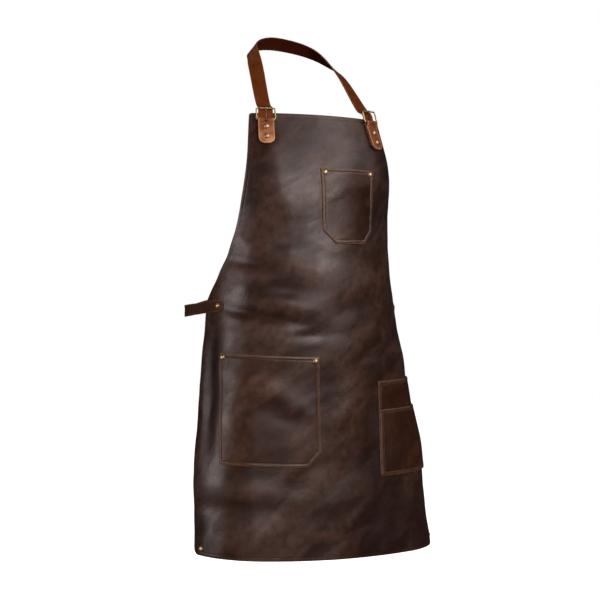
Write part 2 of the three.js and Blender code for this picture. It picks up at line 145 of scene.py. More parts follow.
def smooth(table: Table, at: Array) -> Array:
    """Smooth value of a two-column table, straight on beyond its ends.

    Args:
        table: Rows of place and value, in rising order of place.
        at: Places to read.

    Returns:
        The values at those places.
    """
    x = np.array([row[0] for row in table], float)
    y = np.array([row[1] for row in table], float)
    last = len(x) - 1
    ahead = np.minimum(np.arange(last + 1) + 1, last)
    behind = np.maximum(np.arange(last + 1) - 1, 0)
    slope = (y[ahead] - y[behind]) / (x[ahead] - x[behind])
    k = np.searchsorted(x[1:-1], at, side="left")
    span = x[k + 1] - x[k]
    t = (at - x[k]) / span
    s = t * t * (3 - 2 * t)
    inside = y[k] * (1 - s) + y[k + 1] * s
    inside = inside + t * (1 - t) ** 2 * span * slope[k] + t * t * (t - 1) * span * slope[k + 1]
    below = y[k] + slope[k] * t * span
    above = y[k + 1] + slope[k + 1] * (t - 1) * span
    return np.where(t < 0, below, np.where(t > 1, above, inside))


def unit(vectors: Array) -> Array:
    """Vectors scaled to length one."""
    return vectors / np.linalg.norm(vectors, axis=-1, keepdims=True)


def bell(at: Array, middle: float, width: float) -> Array:
    """Share from one at the middle to zero on both sides."""
    return np.exp(-(((at - middle) / width) ** 2))


def run_length(points: Array) -> float:
    """Length of a line through points."""
    return float(np.sum(np.linalg.norm(np.diff(points, axis=0), axis=1)))


def stations(low: float, high: float, cell: float, insets: Sequence[float]) -> Array:
    """Places between two edges, close together at given insets beside each edge.

    Args:
        low: First edge.
        high: Second edge.
        cell: Wanted distance between the inner places.
        insets: Distances from an edge, rising from zero.

    Returns:
        Rising places from low to high.
    """
    rim = np.array(insets, float)
    count = max(int(round((high - low - 2 * rim[-1]) / cell)), 2)
    inner = np.linspace(low + rim[-1], high - rim[-1], count + 1)[1:-1]
    return np.concatenate([low + rim, inner, high - rim[::-1]])


def with_marks(places: Array, marks: Sequence[float], clear: float) -> Array:
    """Rising places with marks added, and without the places too near a mark.

    Args:
        places: The places to start from.
        marks: Places that have to be there.
        clear: Distance from a mark within which a place is dropped.

    Returns:
        The new places.
    """
    kept = [place for place in places if min(abs(place - mark) for mark in marks) > clear]
    return np.sort(np.array(kept + list(marks)))


@dataclass(frozen=True)
class Grading:
    """Numbered places between two edges that may move: close beside each edge, even between."""

    insets: tuple[float, ...]
    cells: int

    @property
    def last(self) -> int:
        """Number of the last place."""
        return 2 * len(self.insets) + self.cells - 3

    def at(self, number: Array, low: Array, high: Array) -> Array:
        """Where numbered places lie.

        Args:
            number: Numbers of the places.
            low: First edge at each of them.
            high: Second edge at each of them.

        Returns:
            The places.
        """
        rim = np.array(self.insets)
        inner = np.linspace(0, 1, self.cells)[1:-1]
        count = len(rim)
        first = low + rim[np.clip(number, 0, count - 1)]
        second = high - rim[np.clip(self.last - number, 0, count - 1)]
        share = inner[np.clip(number - count, 0, len(inner) - 1)]
        middle = low + rim[-1] + share * (high - low - 2 * rim[-1])
        return np.where(number < count, first, np.where(number > self.last - count, second, middle))


@dataclass(frozen=True)
class PanelShape:
    """The worn form of the front panel, which every other piece of leather lies on."""

    hem_level: float = -998.5
    bib_top: float = 834.5
    thickness: float = 2.0
    front_share: float = 0.55
    waist_corner: float = 473.0
    side_reach: float = 300.0
    ripple_fade: float = 70.0
    ripple_start: float = 0.5
    ripple_apart: float = 4.0
    crest_rise: float = 2.2
    sections: tuple[Section, ...] = (
        Section(0, -271.5, 1015, 78, 299.5),
        Section(230, -262, 443, 94, 299.5),
        Section(476, -256, 238, 92, 278),
        Section(620, -241, 236, 73, 230),
        Section(740, -226.5, 462, 50.5, 180),
        Section(832, -197, 411, 28, 150),
    )
    skirt_edge: Table = ((0, 299.5), (240, 299.5), (360, 290), (473, 272))
    armhole_edge: Table = ((473, 272), (530, 231), (610, 191), (740, 164), (834.5, 144))
    side_lift: Table = ((0, 15), (476, 12), (834.5, -4.5))
    folds: tuple[Fold, ...] = (
        Fold(-158, 580, -20, 42, 17, 2.6),
        Fold(-165, 547, -11, 52, 13, -2.4),
        Fold(-152, 517, -13, 58, 19, 4.0),
        Fold(-62, 545, -14, 50, 18, 2.4),
        Fold(-98, 500, -5, 48, 15, -4.4),
        Fold(-110, 473, -9, 62, 14, 3.0),
        Fold(-140, 447, -9, 66, 11, -5.4),
        Fold(-150, 409, -3, 70, 14, 2.2),
        Fold(-55, 414, 4, 50, 11, -2.4),
        Fold(60, 470, 8, 90, 22, -2.5),
        Fold(75, 515, 14, 80, 24, 0.8),
        Fold(-100, 690, 95, 70, 20, 2.2),
        Fold(-256, 295, 88, 110, 16, -5),
        Fold(-280, 288, 88, 120, 12, 2.5),
        Fold(-160, 318, -12, 60, 20, 2.6),
        Fold(-98, 290, -26, 55, 17, 1.8),
        Fold(-112, 262, -22, 60, 18, -1.5),
        Fold(-150, 120, -6, 80, 20, 2.6),
        Fold(-215, 92, 4, 45, 14, -2.6),
        Fold(20, 250, 84, 190, 34, 3),
        Fold(70, 230, 92, 170, 26, -2.5),
    )
    ripples: tuple[Ripple, ...] = (
        Ripple(20, 150, 85, 3.4, -100, 780),
        Ripple(38, 95, 38, 2.0, -100, 430),
        Ripple(-10, 90, 34, 1.6, 380, 640),
        Ripple(62, 80, 40, 1.1, 560, 800),
        Ripple(30, 45, 19, 0.5, -100, 800),
    )

    def table(self, name: str) -> Table:
        """One column of the level sections against height."""
        return [(row.height, getattr(row, name)) for row in self.sections]

    def half_width(self, height: Array) -> Array:
        """Half the cut width of the leather at a height."""
        skirt = smooth(self.skirt_edge, height)
        return np.where(height < self.waist_corner, skirt, smooth(self.armhole_edge, height))

    def rise(self, across: Array, height: Array) -> Array:
        """Height of folds and ripples above the plain leather.

        Args:
            across: Places across the leather.
            height: Heights of those places.

        Returns:
            Distances in front of the plain leather.
        """
        total = np.zeros(np.shape(across))
        for fold in self.folds:
            c = math.cos(math.radians(fold.angle))
            s = math.sin(math.radians(fold.angle))
            along = (across - fold.across) * c + (height - fold.height) * s
            beside = (height - fold.height) * c - (across - fold.across) * s
            away = (along / fold.length) ** 2 + (beside / fold.width) ** 2
            total = total + fold.rise * np.exp(-away)
        return total + self.ripple(across, height)

    def crest(self, across: Array, height: Array) -> Array:
        """Share, from valley to ridge, by which the leather is painted paler: partly its own paling where
        stretched over ridges, partly painted sheen.
        """
        return 0.5 + 0.5 * np.tanh(self.rise(across, height) / self.crest_rise)

    def ripple(self, across: Array, height: Array) -> Array:
        """Uneven streaks of the hide, which fade out below the hardware at the top of the bib.

        Args:
            across: Places across the leather.
            height: Heights of those places.

        Returns:
            Distances in front of the plain leather.
        """
        a = np.ravel(across)
        h = np.ravel(height)
        total = np.zeros(len(a))
        for k, layer in enumerate(self.ripples):
            c = math.cos(math.radians(layer.angle))
            s = math.sin(math.radians(layer.angle))
            along = (a * c + h * s) / layer.length
            beside = (h * c - a * s) / layer.width
            inside = np.clip(np.minimum(h - layer.low, layer.high - h) / self.ripple_fade, 0.0, 1.0)
            level = self.ripple_start + self.ripple_apart * k
            wave = [noise.noise(Vector((x, y, level))) for x, y in zip(along, beside)]
            total = total + layer.rise * inside * np.array(wave)
        return total.reshape(np.shape(across))

    def plain(self, across: Array, height: Array) -> Array:
        """The front face before its folds: a front arc that runs on into a tighter side arc.

        Args:
            across: Places across the leather.
            height: Heights of those places.

        Returns:
            Points in millimetres.
        """
        half = smooth(self.table("half"), height)
        curve = smooth([(h, 1 / r) for h, r in self.table("radius")], height)
        turn = np.radians(smooth(self.table("turn"), height))
        front_half = self.front_share * half
        side_curve = (turn - curve * front_half) / (half - front_half)
        reach = np.abs(across)
        front_turn = curve * np.minimum(reach, front_half)
        side_turn = front_turn + side_curve * np.maximum(reach - front_half, 0.0)
        x = np.sin(front_turn) / curve + (np.sin(side_turn) - np.sin(front_turn)) / side_curve
        y = (1 - np.cos(front_turn)) / curve + (np.cos(front_turn) - np.cos(side_turn)) / side_curve
        lift = smooth(self.side_lift, height) * (across / self.side_reach) ** 2
        depth = smooth(self.table("front"), height) + y
        return np.stack([np.sign(across) * x, depth, self.hem_level + height + lift], axis=-1)

    def axes(self, across: Array, height: Array) -> tuple[Array, Array, Array]:
        """Directions of the leather at a place: across it, up it and out of it.

        Args:
            across: Places across the leather.
            height: Heights of those places.

        Returns:
            Unit vectors across, up and out.
        """
        step = 0.5
        right = unit(self.plain(across + step, height) - self.plain(across - step, height))
        up = unit(self.plain(across, height + step) - self.plain(across, height - step))
        return right, up, unit(np.cross(right, up))

    def points(self, across: Array, height: Array, offset: Array | float) -> Array:
        """Points at a distance in front of the panel's face, folds included.

        Args:
            across: Places across the leather.
            height: Heights of those places.
            offset: Distance in front of the face.

        Returns:
            Points in metres.
        """
        across, height = np.broadcast_arrays(np.asarray(across, float), np.asarray(height, float))
        out = self.axes(across, height)[2]
        stand = np.asarray(offset + self.rise(across, height))
        return (self.plain(across, height) + out * stand[..., None]) * MM

    def placing(self, across: float, height: float, offset: float) -> Matrix:
        """Placing matrix at a point of the panel.

        Args:
            across: Place across the leather.
            height: Height of that place.
            offset: Distance in front of the face.

        Returns:
            The matrix, with +Z out of the leather.
        """
        a = np.array(across, float)
        h = np.array(height, float)
        _, up, out = self.axes(a, h)
        side = unit(np.cross(up, out))
        return placing_matrix(side, np.cross(out, side), out, self.points(a, h, offset))


def placing_matrix(x: Array, y: Array, z: Array, origin: Array) -> Matrix:
    """Matrix that carries the three axes and the origin to a place."""
    rows = [[x[k], y[k], z[k], origin[k]] for k in range(3)]
    return Matrix(rows + [[0.0, 0.0, 0.0, 1.0]])


class SmoothCourse:
    """A smooth line through a few points, with its pace set by the gaps between them."""

    def __init__(self, points: Sequence[Sequence[float]]) -> None:
        """Keeps the points, with one more beyond each end.

        Args:
            points: Points of two or three coordinates.
        """
        given = np.array(points, float)
        first = 2 * given[0] - given[1]
        last = 2 * given[-1] - given[-2]
        self.knots = np.vstack([first, given, last])
        self.count = len(given) - 1

    def point(self, t: float) -> Array:
        """Point of the line.

        Args:
            t: Share of its stations, from zero to one.

        Returns:
            The point, on a cubic between two stations that meets its neighbours smoothly.
        """
        place = min(max(t, 0.0), 1.0) * self.count
        k = min(int(place), self.count - 1)
        w = place - k
        a, b, c, d = self.knots[k : k + 4]
        pace = [max(float(np.linalg.norm(q - p)) ** 0.5, 1e-4) for p, q in ((a, b), (b, c), (c, d))]
        leave = (b - a) / pace[0] - (c - a) / (pace[0] + pace[1]) + (c - b) / pace[1]
        arrive = (c - b) / pace[1] - (d - b) / (pace[1] + pace[2]) + (d - c) / pace[2]
        leave = leave * pace[1]
        arrive = arrive * pace[1]
        square = -3 * b + 3 * c - 2 * leave - arrive
        cube = 2 * b - 2 * c + leave + arrive
        return b + leave * w + square * w * w + cube * w**3

    def tangent(self, t: float) -> Array:
        """Direction of the line at a share of its stations."""
        step = 1e-4
        return unit(self.point(min(t + step, 1.0)) - self.point(max(t - step, 0.0)))

    def length(self, count: int) -> float:
        """Length of the line, through a number of its points."""
        return run_length(np.array([self.point(t) for t in np.linspace(0, 1, count)]))


def lay_sheet(columns: int, rows: int, place: Placer) -> Mesh:
    """Lays a grid of cells and moves each corner to its place.

    Args:
        columns: Number of cells across.
        rows: Number of cells up.
        place: Gives the points, and named values for them, at column and row numbers.

    Returns:
        The grid as an open sheet, facing out.
    """
    bm = bmesh.new()
    bmesh.ops.create_grid(bm, x_segments=columns, y_segments=rows, size=0.5)
    bm.verts.ensure_lookup_table()
    flat = np.array([vert.co[:2] for vert in bm.verts]) + 0.5
    column = np.rint(flat[:, 0] * columns).astype(int)
    row = np.rint(flat[:, 1] * rows).astype(int)
    points, values = place(column, row)
    layers = {name: bm.verts.layers.float.new(name) for name in values}
    for k, vert in enumerate(bm.verts):
        vert.co = points[k]
        for name, layer in layers.items():
            vert[layer] = float(values[name][k])
    return bm


def make_object(bm: Mesh, name: str, finishes: Sequence[Material]) -> Piece:
    """Turns a bmesh into a smooth-shaded object of the scene.

    Args:
        bm: The shape, which is used up.
        name: Name of the piece.
        finishes: Materials of its slots.

    Returns:
        The new object at the origin.
    """
    for face in bm.faces:
        face.smooth = True
    bm.normal_update()
    mesh = bpy.data.meshes.new(name)
    bm.to_mesh(mesh)
    bm.free()
    for finish in finishes:
        mesh.materials.append(finish)
    piece = bpy.data.objects.new(name, mesh)
    bpy.context.scene.collection.objects.link(piece)
    return piece


def thicken(piece: Piece, thickness: float, offset: float, rounding: float) -> None:
    """Gives a sheet its thickness, with its own flesh side and cut edge, and softens the edge.

    Args:
        piece: The sheet.
        thickness: Thickness of the leather.
        offset: Whether the sheet is the outer face or the middle of the leather.
        rounding: Radius of the softened edge.
    """
    wall = piece.modifiers.new("Thickness", "SOLIDIFY")
    wall.thickness = thickness * MM
    wall.offset = offset
    wall.use_even_offset = True
    wall.material_offset = 1
    wall.material_offset_rim = 2
    edge = piece.modifiers.new("Softened edge", "BEVEL")
    edge.width = rounding * MM
    edge.segments = BEVEL_SEGMENTS
    edge.limit_method = "ANGLE"
    edge.angle_limit = BEVEL_ANGLE
    edge.harden_normals = True


def settle(piece: Piece, slot: Slot, *nodes: str) -> None:
    """Rides a piece on the apron and puts it in place of its solids.

    Args:
        piece: The finished piece.
        slot: The record's finish for it; not used.
        nodes: The solids that it stands for.
    """
    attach(piece, BODY)
    if nodes:
        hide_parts(*nodes)
    LOG.info("%s: %d faces before its modifiers", piece.name, len(piece.data.polygons))


class Pattern(NamedTuple):
    """A cloudy pattern.

    The scale is in clouds to a metre and the detail in octaves. The distortion stirs the clouds, and the
    stretch is how long they are along each axis. The slant is the degrees by which the first axis climbs to
    the right, seen from the front.
    """

    scale: float
    detail: float = 3.0
    distortion: float = 0.0
    stretch: tuple[float, float, float] = (1.0, 1.0, 1.0)
    slant: float = 0.0


class Shader:
    """A node material, built step by step.

    The three numbers are the places of the colour sockets on a mix node.
    """

    MIX_FIRST = 6
    MIX_SECOND = 7
    MIX_RESULT = 2

    def __init__(self, name: str) -> None:
        """Starts an empty material with its surface shader and output.

        Args:
            name: Name of the material.
        """
        self.material = bpy.data.materials.new(name)
        self.material.use_nodes = True
        self.tree = self.material.node_tree
        self.tree.nodes.clear()
        self.surface = self.tree.nodes.new("ShaderNodeBsdfPrincipled")
        output = self.tree.nodes.new("ShaderNodeOutputMaterial")
        self.tree.links.new(self.surface.outputs["BSDF"], output.inputs["Surface"])
        self.place = self.tree.nodes.new("ShaderNodeTexCoord").outputs["Object"]

    def feed(self, socket: Socket, value: object) -> None:
        """Links a socket to an output, or sets its own value.

        Args:
            socket: The input to feed.
            value: An output of another node, or a constant.
        """
        if isinstance(value, Socket):
            self.tree.links.new(value, socket)
        else:
            socket.default_value = value

    def noise(self, pattern: Pattern) -> Socket:
        """Cloudy pattern on the piece's own coordinates.

        Args:
            pattern: Size, depth and direction of the clouds.

        Returns:
            A value from about zero to one.
        """
        mapping = self.tree.nodes.new("ShaderNodeMapping")
        mapping.vector_type = "TEXTURE"
        mapping.inputs["Scale"].default_value = pattern.stretch
        mapping.inputs["Rotation"].default_value = (0.0, math.radians(-pattern.slant), 0.0)
        self.tree.links.new(self.place, mapping.inputs["Vector"])
        node = self.tree.nodes.new("ShaderNodeTexNoise")
        node.inputs["Scale"].default_value = pattern.scale
        node.inputs["Detail"].default_value = pattern.detail
        node.inputs["Distortion"].default_value = pattern.distortion
        self.tree.links.new(mapping.outputs["Vector"], node.inputs["Vector"])
        return node.outputs["Fac"]

    def pebbles(self, scale: float) -> Socket:
        """Rounded grain cells.

        Args:
            scale: Cells to a metre.

        Returns:
            Distance from the middle of a cell.
        """
        node = self.tree.nodes.new("ShaderNodeTexVoronoi")
        node.feature = "SMOOTH_F1"
        node.inputs["Scale"].default_value = scale
        self.tree.links.new(self.place, node.inputs["Vector"])
        return node.outputs["Distance"]

    def corner_value(self, name: str) -> Socket:
        """A value that the mesh carries at its corners.

        Args:
            name: Name of the value.

        Returns:
            The value, or zero where the mesh has none.
        """
        node = self.tree.nodes.new("ShaderNodeAttribute")
        node.attribute_name = name
        return node.outputs["Fac"]

    def spread(self, value: Socket, low: float, high: float,
               to_low: float = 0.0, to_high: float = 1.0) -> Socket:
        """Maps a range of a value smoothly to another range.

        Args:
            value: The value to map.
            low: Start of its range.
            high: End of its range.
            to_low: What the start becomes.
            to_high: What the end becomes.

        Returns:
            The mapped value.
        """
        node = self.tree.nodes.new("ShaderNodeMapRange")
        node.interpolation_type = "SMOOTHSTEP"
        self.tree.links.new(value, node.inputs["Value"])
        ends = {"From Min": low, "From Max": high, "To Min": to_low, "To Max": to_high}
        for name, number in ends.items():
            node.inputs[name].default_value = number
        return node.outputs["Result"]

    def combine(self, first: Socket, second: object, join: Join = Join.ADD) -> Socket:
        """Two values put together.

        Args:
            first: One value.
            second: Another value or a constant.
            join: What is done with them.

        Returns:
            The result.
        """
        node = self.tree.nodes.new("ShaderNodeMath")
        node.operation = join.value
        self.feed(node.inputs[0], first)
        self.feed(node.inputs[1], second)
        return node.outputs["Value"]

    def tint(self, share: Socket, first: object, second: object) -> Socket:
        """A colour between two.

        Args:
            share: Share of the second, from zero to one.
            first: One colour.
            second: Another colour.

        Returns:
            The mixed colour.
        """
        node = self.tree.nodes.new("ShaderNodeMix")
        node.data_type = "RGBA"
        self.tree.links.new(share, node.inputs["Factor"])
        self.feed(node.inputs[self.MIX_FIRST], first)
        self.feed(node.inputs[self.MIX_SECOND], second)
        return node.outputs[self.MIX_RESULT]

    def relief(self, height: Socket, depth: float, strength: float = 1.0,
               under: Socket | None = None) -> Socket:
        """Fine relief of the surface.

        Args:
            height: Pattern of the relief.
            depth: Its full height in millimetres.
            strength: How much of it shows.
            under: Relief that it lies on.

        Returns:
            The normal to give to the surface shader.
        """
        node = self.tree.nodes.new("ShaderNodeBump")
        node.inputs["Distance"].default_value = depth * MM
        node.inputs["Strength"].default_value = strength
        self.tree.links.new(height, node.inputs["Height"])
        if under is not None:
            self.tree.links.new(under, node.inputs["Normal"])
        return node.outputs["Normal"]

    def set(self, **inputs: object) -> None:
        """Feeds named inputs of the surface shader, with words joined by underscores."""
        for name, value in inputs.items():
            self.feed(self.surface.inputs[name.replace("_", " ").title()], value)


@dataclass(frozen=True)
class GrainLeather:
    """Waxed leather, grain side out: cloudy colour, paler worn edges, fine pebbled grain. Its colour also
    holds painted light: ridges painted paler (partly the leather's paling where stretched, partly painted
    sheen), painted shade in crease and seam grooves, a painted highlight on pocket borders, and painted
    light and shade on the strap tabs.
    """

    DRIFT = Pattern(3.1, 2.0, 0.3)
    CLOUDS = Pattern(11.0, 5.0, 0.5)
    SPECKS = Pattern(240.0)
    STREAKS = Pattern(27.0, 8.0, 0.7, (2.2, 1.0, 1.0), 34.0)
    SMUDGES = Pattern(75.0, 6.0, 0.4)
    RUBS = Pattern(130.0)
    WAX = Pattern(21.0, 6.0, 0.5, (2.0, 1.0, 1.0), 34.0)
    CREASES = Pattern(38.0, 5.0, 1.1, (1.8, 1.0, 1.0), 28.0)
    CREASE_DEPTH = 0.6
    PORE_DEPTH = 0.05

    name: str
    deep: Colour
    body: Colour
    warm: Colour
    # Colour of ridges painted paler: partly the leather's paling where stretched, partly painted sheen; on
    # the strap tabs, a painted highlight.
    pulled: Colour
    # Colour of worn edges, also used for the painted highlight along pocket borders.
    worn: Colour
    matt: float
    gloss: float
    grain: float = 780.0
    grain_depth: float = 0.10
    specular: float = 0.5
    sheen: Colour = (1.0, 0.89, 0.86, 1)

    def make(self) -> Material:
        """Builds the finish.

        Returns:
            The new material.
        """
        shader = Shader(self.name)
        drift = shader.spread(shader.noise(self.DRIFT), 0.34, 0.68)
        clouds = shader.spread(shader.noise(self.CLOUDS), 0.28, 0.74)
        colour = shader.tint(clouds, self.deep, self.body)
        warmth = shader.combine(drift, shader.spread(clouds, 0.0, 1.0, 0.35, 0.8), Join.MULTIPLY)
        colour = shader.tint(warmth, colour, self.warm)
        # Painted light: ridges painted paler, partly the leather's paling where stretched and partly
        # painted sheen; on the strap tabs the same value paints light and shade.
        crest = shader.corner_value("crest")
        raised = shader.combine(shader.noise(self.STREAKS), shader.combine(crest, 0.32, Join.MULTIPLY))
        pull_and_light = shader.spread(raised, 0.52, 0.98)
        pull_and_light = shader.combine(pull_and_light, shader.spread(crest, 0.0, 0.15), Join.MULTIPLY)
        colour = shader.tint(pull_and_light, colour, self.pulled)
        smudges = shader.spread(shader.noise(self.SMUDGES), 0.42, 0.70, 0.0, 0.5)
        colour = shader.tint(smudges, colour, self.deep)
        # Worn edges paler; on pockets the same value also paints a highlight along the padded border.
        broken = shader.spread(shader.noise(self.RUBS), 0.25, 0.6, 0.6, 1.0)
        wear_and_highlight = shader.combine(shader.corner_value("edge"), broken, Join.MULTIPLY)
        colour = shader.tint(wear_and_highlight, colour, self.worn)
        # Painted shade: crease and seam grooves darkened toward the deep colour.
        groove = shader.combine(shader.corner_value("groove"), 0.7, Join.MULTIPLY)
        colour = shader.tint(groove, colour, self.deep)
        specks = shader.noise(self.SPECKS)
        rough = shader.spread(shader.noise(self.WAX), 0.34, 0.66, self.gloss, self.matt)
        rough = shader.combine(rough, shader.spread(specks, 0.3, 0.7, -0.03, 0.04))
        creases = shader.relief(shader.noise(self.CREASES), self.CREASE_DEPTH, 0.7)
        pores = shader.relief(specks, self.PORE_DEPTH, 0.5, creases)
        pebbled = shader.relief(shader.pebbles(self.grain), self.grain_depth, 0.5, pores)
        shader.set(base_color=colour, roughness=rough, normal=pebbled)
        shader.surface.inputs["Specular IOR Level"].default_value = self.specular
        shader.surface.inputs["Specular Tint"].default_value = self.sheen
        return shader.material


@dataclass(frozen=True)
class FleshLeather:
    """The brushed flesh side of the leather."""

    CLOUDS = Pattern(14.0, 5.0, 0.5)
    FIBRES = Pattern(900.0, 4.0, 0.8)
    NAP_DEPTH = 0.22

    name: str
    dark: Colour
    pale: Colour
    roughness: float = 0.88
    specular: float = 0.25

    def make(self) -> Material:
        """Builds the finish.

        Returns:
            The new material.
        """
        shader = Shader(self.name)
        clouds = shader.spread(shader.noise(self.CLOUDS), 0.3, 0.7)
        fibres = shader.noise(self.FIBRES)
        colour = shader.tint(clouds, self.dark, self.pale)
        colour = shader.tint(shader.spread(fibres, 0.35, 0.7, 0.0, 0.35), colour, self.pale)
        nap = shader.relief(fibres, self.NAP_DEPTH, 0.7)
        shader.set(base_color=colour, normal=nap)
        shader.surface.inputs["Roughness"].default_value = self.roughness
        shader.surface.inputs["Specular IOR Level"].default_value = self.specular
        return shader.material


@dataclass(frozen=True)
class CutEdge:
    """The burnished cut edge of the leather."""

    LAYERS = Pattern(320.0, 4.0, 0.3)
    LAYER_DEPTH = 0.12

    name: str
    dark: Colour
    pale: Colour
    roughness: float = 0.5

    def make(self) -> Material:
        """Builds the finish.

        Returns:
            The new material.
        """
        shader = Shader(self.name)
        layers = shader.noise(self.LAYERS)
        colour = shader.tint(shader.spread(layers, 0.3, 0.7), self.dark, self.pale)
        shader.set(base_color=colour, normal=shader.relief(layers, self.LAYER_DEPTH, 0.6))
        shader.surface.inputs["Roughness"].default_value = self.roughness
        return shader.material


@dataclass(frozen=True)
class AntiqueBrass:
    """Brass that is bright where it is rubbed and brown where it isn't."""

    TARNISH = Pattern(190.0, 4.0, 0.6)
    SCRATCHES = Pattern(620.0, stretch=(6.0, 1.0, 6.0))
    SCRATCH_DEPTH = 0.02

    name: str
    bright: Colour
    dull: Colour
    gloss: float = 0.44
    matt: float = 0.72

    def make(self) -> Material:
        """Builds the finish.

        Returns:
            The new material.
        """
        shader = Shader(self.name)
        tarnish = shader.spread(shader.noise(self.TARNISH), 0.4, 0.75)
        # Tarnish in the rivets' hollows, and painted shade along the prong where it lies inside its buckle.
        recess = shader.corner_value("recess")
        shade = shader.combine(shader.combine(tarnish, 0.45, Join.MULTIPLY), recess, Join.MAXIMUM)
        scratches = shader.noise(self.SCRATCHES)
        shader.set(
            base_color=shader.tint(shade, self.bright, self.dull),
            roughness=shader.spread(shade, 0.0, 1.0, self.gloss, self.matt),
            normal=shader.relief(scratches, self.SCRATCH_DEPTH, 0.4),
        )
        shader.surface.inputs["Metallic"].default_value = 1.0
        return shader.material


@dataclass(frozen=True)
class WaxedThread:
    """Twisted waxed thread."""

    FIBRES = Pattern(1500.0, 2.0)
    FIBRE_DEPTH = 0.1

    name: str
    dark: Colour
    pale: Colour
    roughness: float = 0.55

    def make(self) -> Material:
        """Builds the finish.

        Returns:
            The new material.
        """
        shader = Shader(self.name)
        fibre = shader.noise(self.FIBRES)
        shader.set(
            base_color=shader.tint(shader.spread(fibre, 0.3, 0.7), self.dark, self.pale),
            normal=shader.relief(fibre, self.FIBRE_DEPTH, 0.6),
        )
        shader.surface.inputs["Roughness"].default_value = self.roughness
        return shader.material


class Finish(Enum):
    """All finishes of the apron."""

    PANEL = GrainLeather(
        "panel grain", deep=(0.013, 0.0046, 0.0031, 1), body=(0.0235, 0.0084, 0.0055, 1),
        warm=(0.038, 0.0131, 0.0071, 1), pulled=(0.064, 0.0290, 0.0198, 1), worn=(0.12, 0.062, 0.036, 1),
        matt=0.48, gloss=0.30, specular=0.40,
    )
    POCKET = GrainLeather(
        "pocket grain", deep=(0.016, 0.0051, 0.0031, 1), body=(0.030, 0.0096, 0.0053, 1),
        warm=(0.049, 0.0154, 0.0070, 1), pulled=(0.075, 0.0316, 0.0190, 1), worn=(0.23, 0.12, 0.07, 1),
        matt=0.48, gloss=0.30, specular=0.40,
    )
    TOOL = GrainLeather(
        "tool pocket grain", deep=(0.015, 0.0043, 0.0021, 1), body=(0.027, 0.0076, 0.0034, 1),
        warm=(0.044, 0.0120, 0.0046, 1), pulled=(0.058, 0.0188, 0.0080, 1), worn=(0.21, 0.100, 0.055, 1),
        matt=0.50, gloss=0.38, specular=0.24,
    )
    STRAP = GrainLeather(
        "strap grain", deep=(0.082, 0.0150, 0.0026, 1), body=(0.148, 0.0305, 0.0052, 1),
        warm=(0.225, 0.057, 0.0115, 1), pulled=(0.27, 0.078, 0.020, 1), worn=(0.28, 0.100, 0.032, 1),
        matt=0.50, gloss=0.40, grain=900.0, grain_depth=0.07, specular=0.10,
    )
    LOOP = GrainLeather(
        "loop grain", deep=(0.028, 0.0092, 0.0048, 1), body=(0.050, 0.0165, 0.0085, 1),
        warm=(0.076, 0.0260, 0.0130, 1), pulled=(0.08, 0.030, 0.015, 1), worn=(0.17, 0.078, 0.042, 1),
        matt=0.56, gloss=0.46, specular=0.14,
    )
    # Strap leather made paler for the tabs as painted light; its very pale colour paints a highlight on
    # each tab's lower end.
    TAB = GrainLeather(
        "tab grain", deep=(0.13, 0.032, 0.009, 1), body=(0.20, 0.055, 0.017, 1),
        warm=(0.27, 0.083, 0.028, 1), pulled=(0.95, 0.425, 0.190, 1), worn=(0.70, 0.36, 0.19, 1),
        matt=0.48, gloss=0.38, grain=900.0, grain_depth=0.07, specular=0.25,
    )
    PANEL_FLESH = FleshLeather(
        "panel flesh", (0.060, 0.034, 0.022, 1), (0.105, 0.064, 0.042, 1)
    )
    # Very dark flesh side of the strap: partly its own darker tone, partly painted shade on the inner face
    # at the nape.
    STRAP_FLESH = FleshLeather(
        "strap flesh", (0.030, 0.0044, 0.0014, 1), (0.064, 0.0102, 0.0032, 1), 0.72, 0.05
    )
    PANEL_CUT = CutEdge("panel cut edge", (0.028, 0.014, 0.009, 1), (0.075, 0.040, 0.024, 1))
    POCKET_CUT = CutEdge("pocket cut edge", (0.10, 0.052, 0.031, 1), (0.22, 0.12, 0.072, 1))
    STRAP_CUT = CutEdge("strap cut edge", (0.12, 0.04, 0.016, 1), (0.26, 0.10, 0.045, 1))
    BRASS = AntiqueBrass("antique brass", (0.66, 0.47, 0.27, 1), (0.30, 0.178, 0.09, 1))
    COPPER = AntiqueBrass(
        "antique copper", (0.74, 0.42, 0.25, 1), (0.40, 0.19, 0.095, 1), 0.50, 0.64
    )
    THREAD = WaxedThread("waxed thread", (0.15, 0.076, 0.042, 1), (0.28, 0.155, 0.09, 1))
    DARK_THREAD = WaxedThread(
        "dark waxed thread", (0.07, 0.033, 0.02, 1), (0.13, 0.066, 0.04, 1)
    )


class LeatherSides(Enum):
    """The flesh side and cut edge that go together on a piece of leather."""

    PANEL = (Finish.PANEL_FLESH, Finish.PANEL_CUT)
    POCKET = (Finish.PANEL_FLESH, Finish.POCKET_CUT)
    STRAP = (Finish.STRAP_FLESH, Finish.STRAP_CUT)


@dataclass(frozen=True)
class Finishes:
    """The materials of the finishes, each made once."""

    made: dict[Finish, Material] = field(default_factory=dict)

    def get(self, finish: Finish) -> Material:
        """The material of a finish, built when it is first asked for.

        Args:
            finish: The finish.

        Returns:
            Its material.
        """
        if finish not in self.made:
            self.made[finish] = finish.value.make()
        return self.made[finish]

    def leather(self, grain: Finish, sides: LeatherSides) -> list[Material]:
        """Grain, flesh and cut-edge materials of a piece of leather, in the order of its slots."""
        return [self.get(finish) for finish in (grain, *sides.value)]


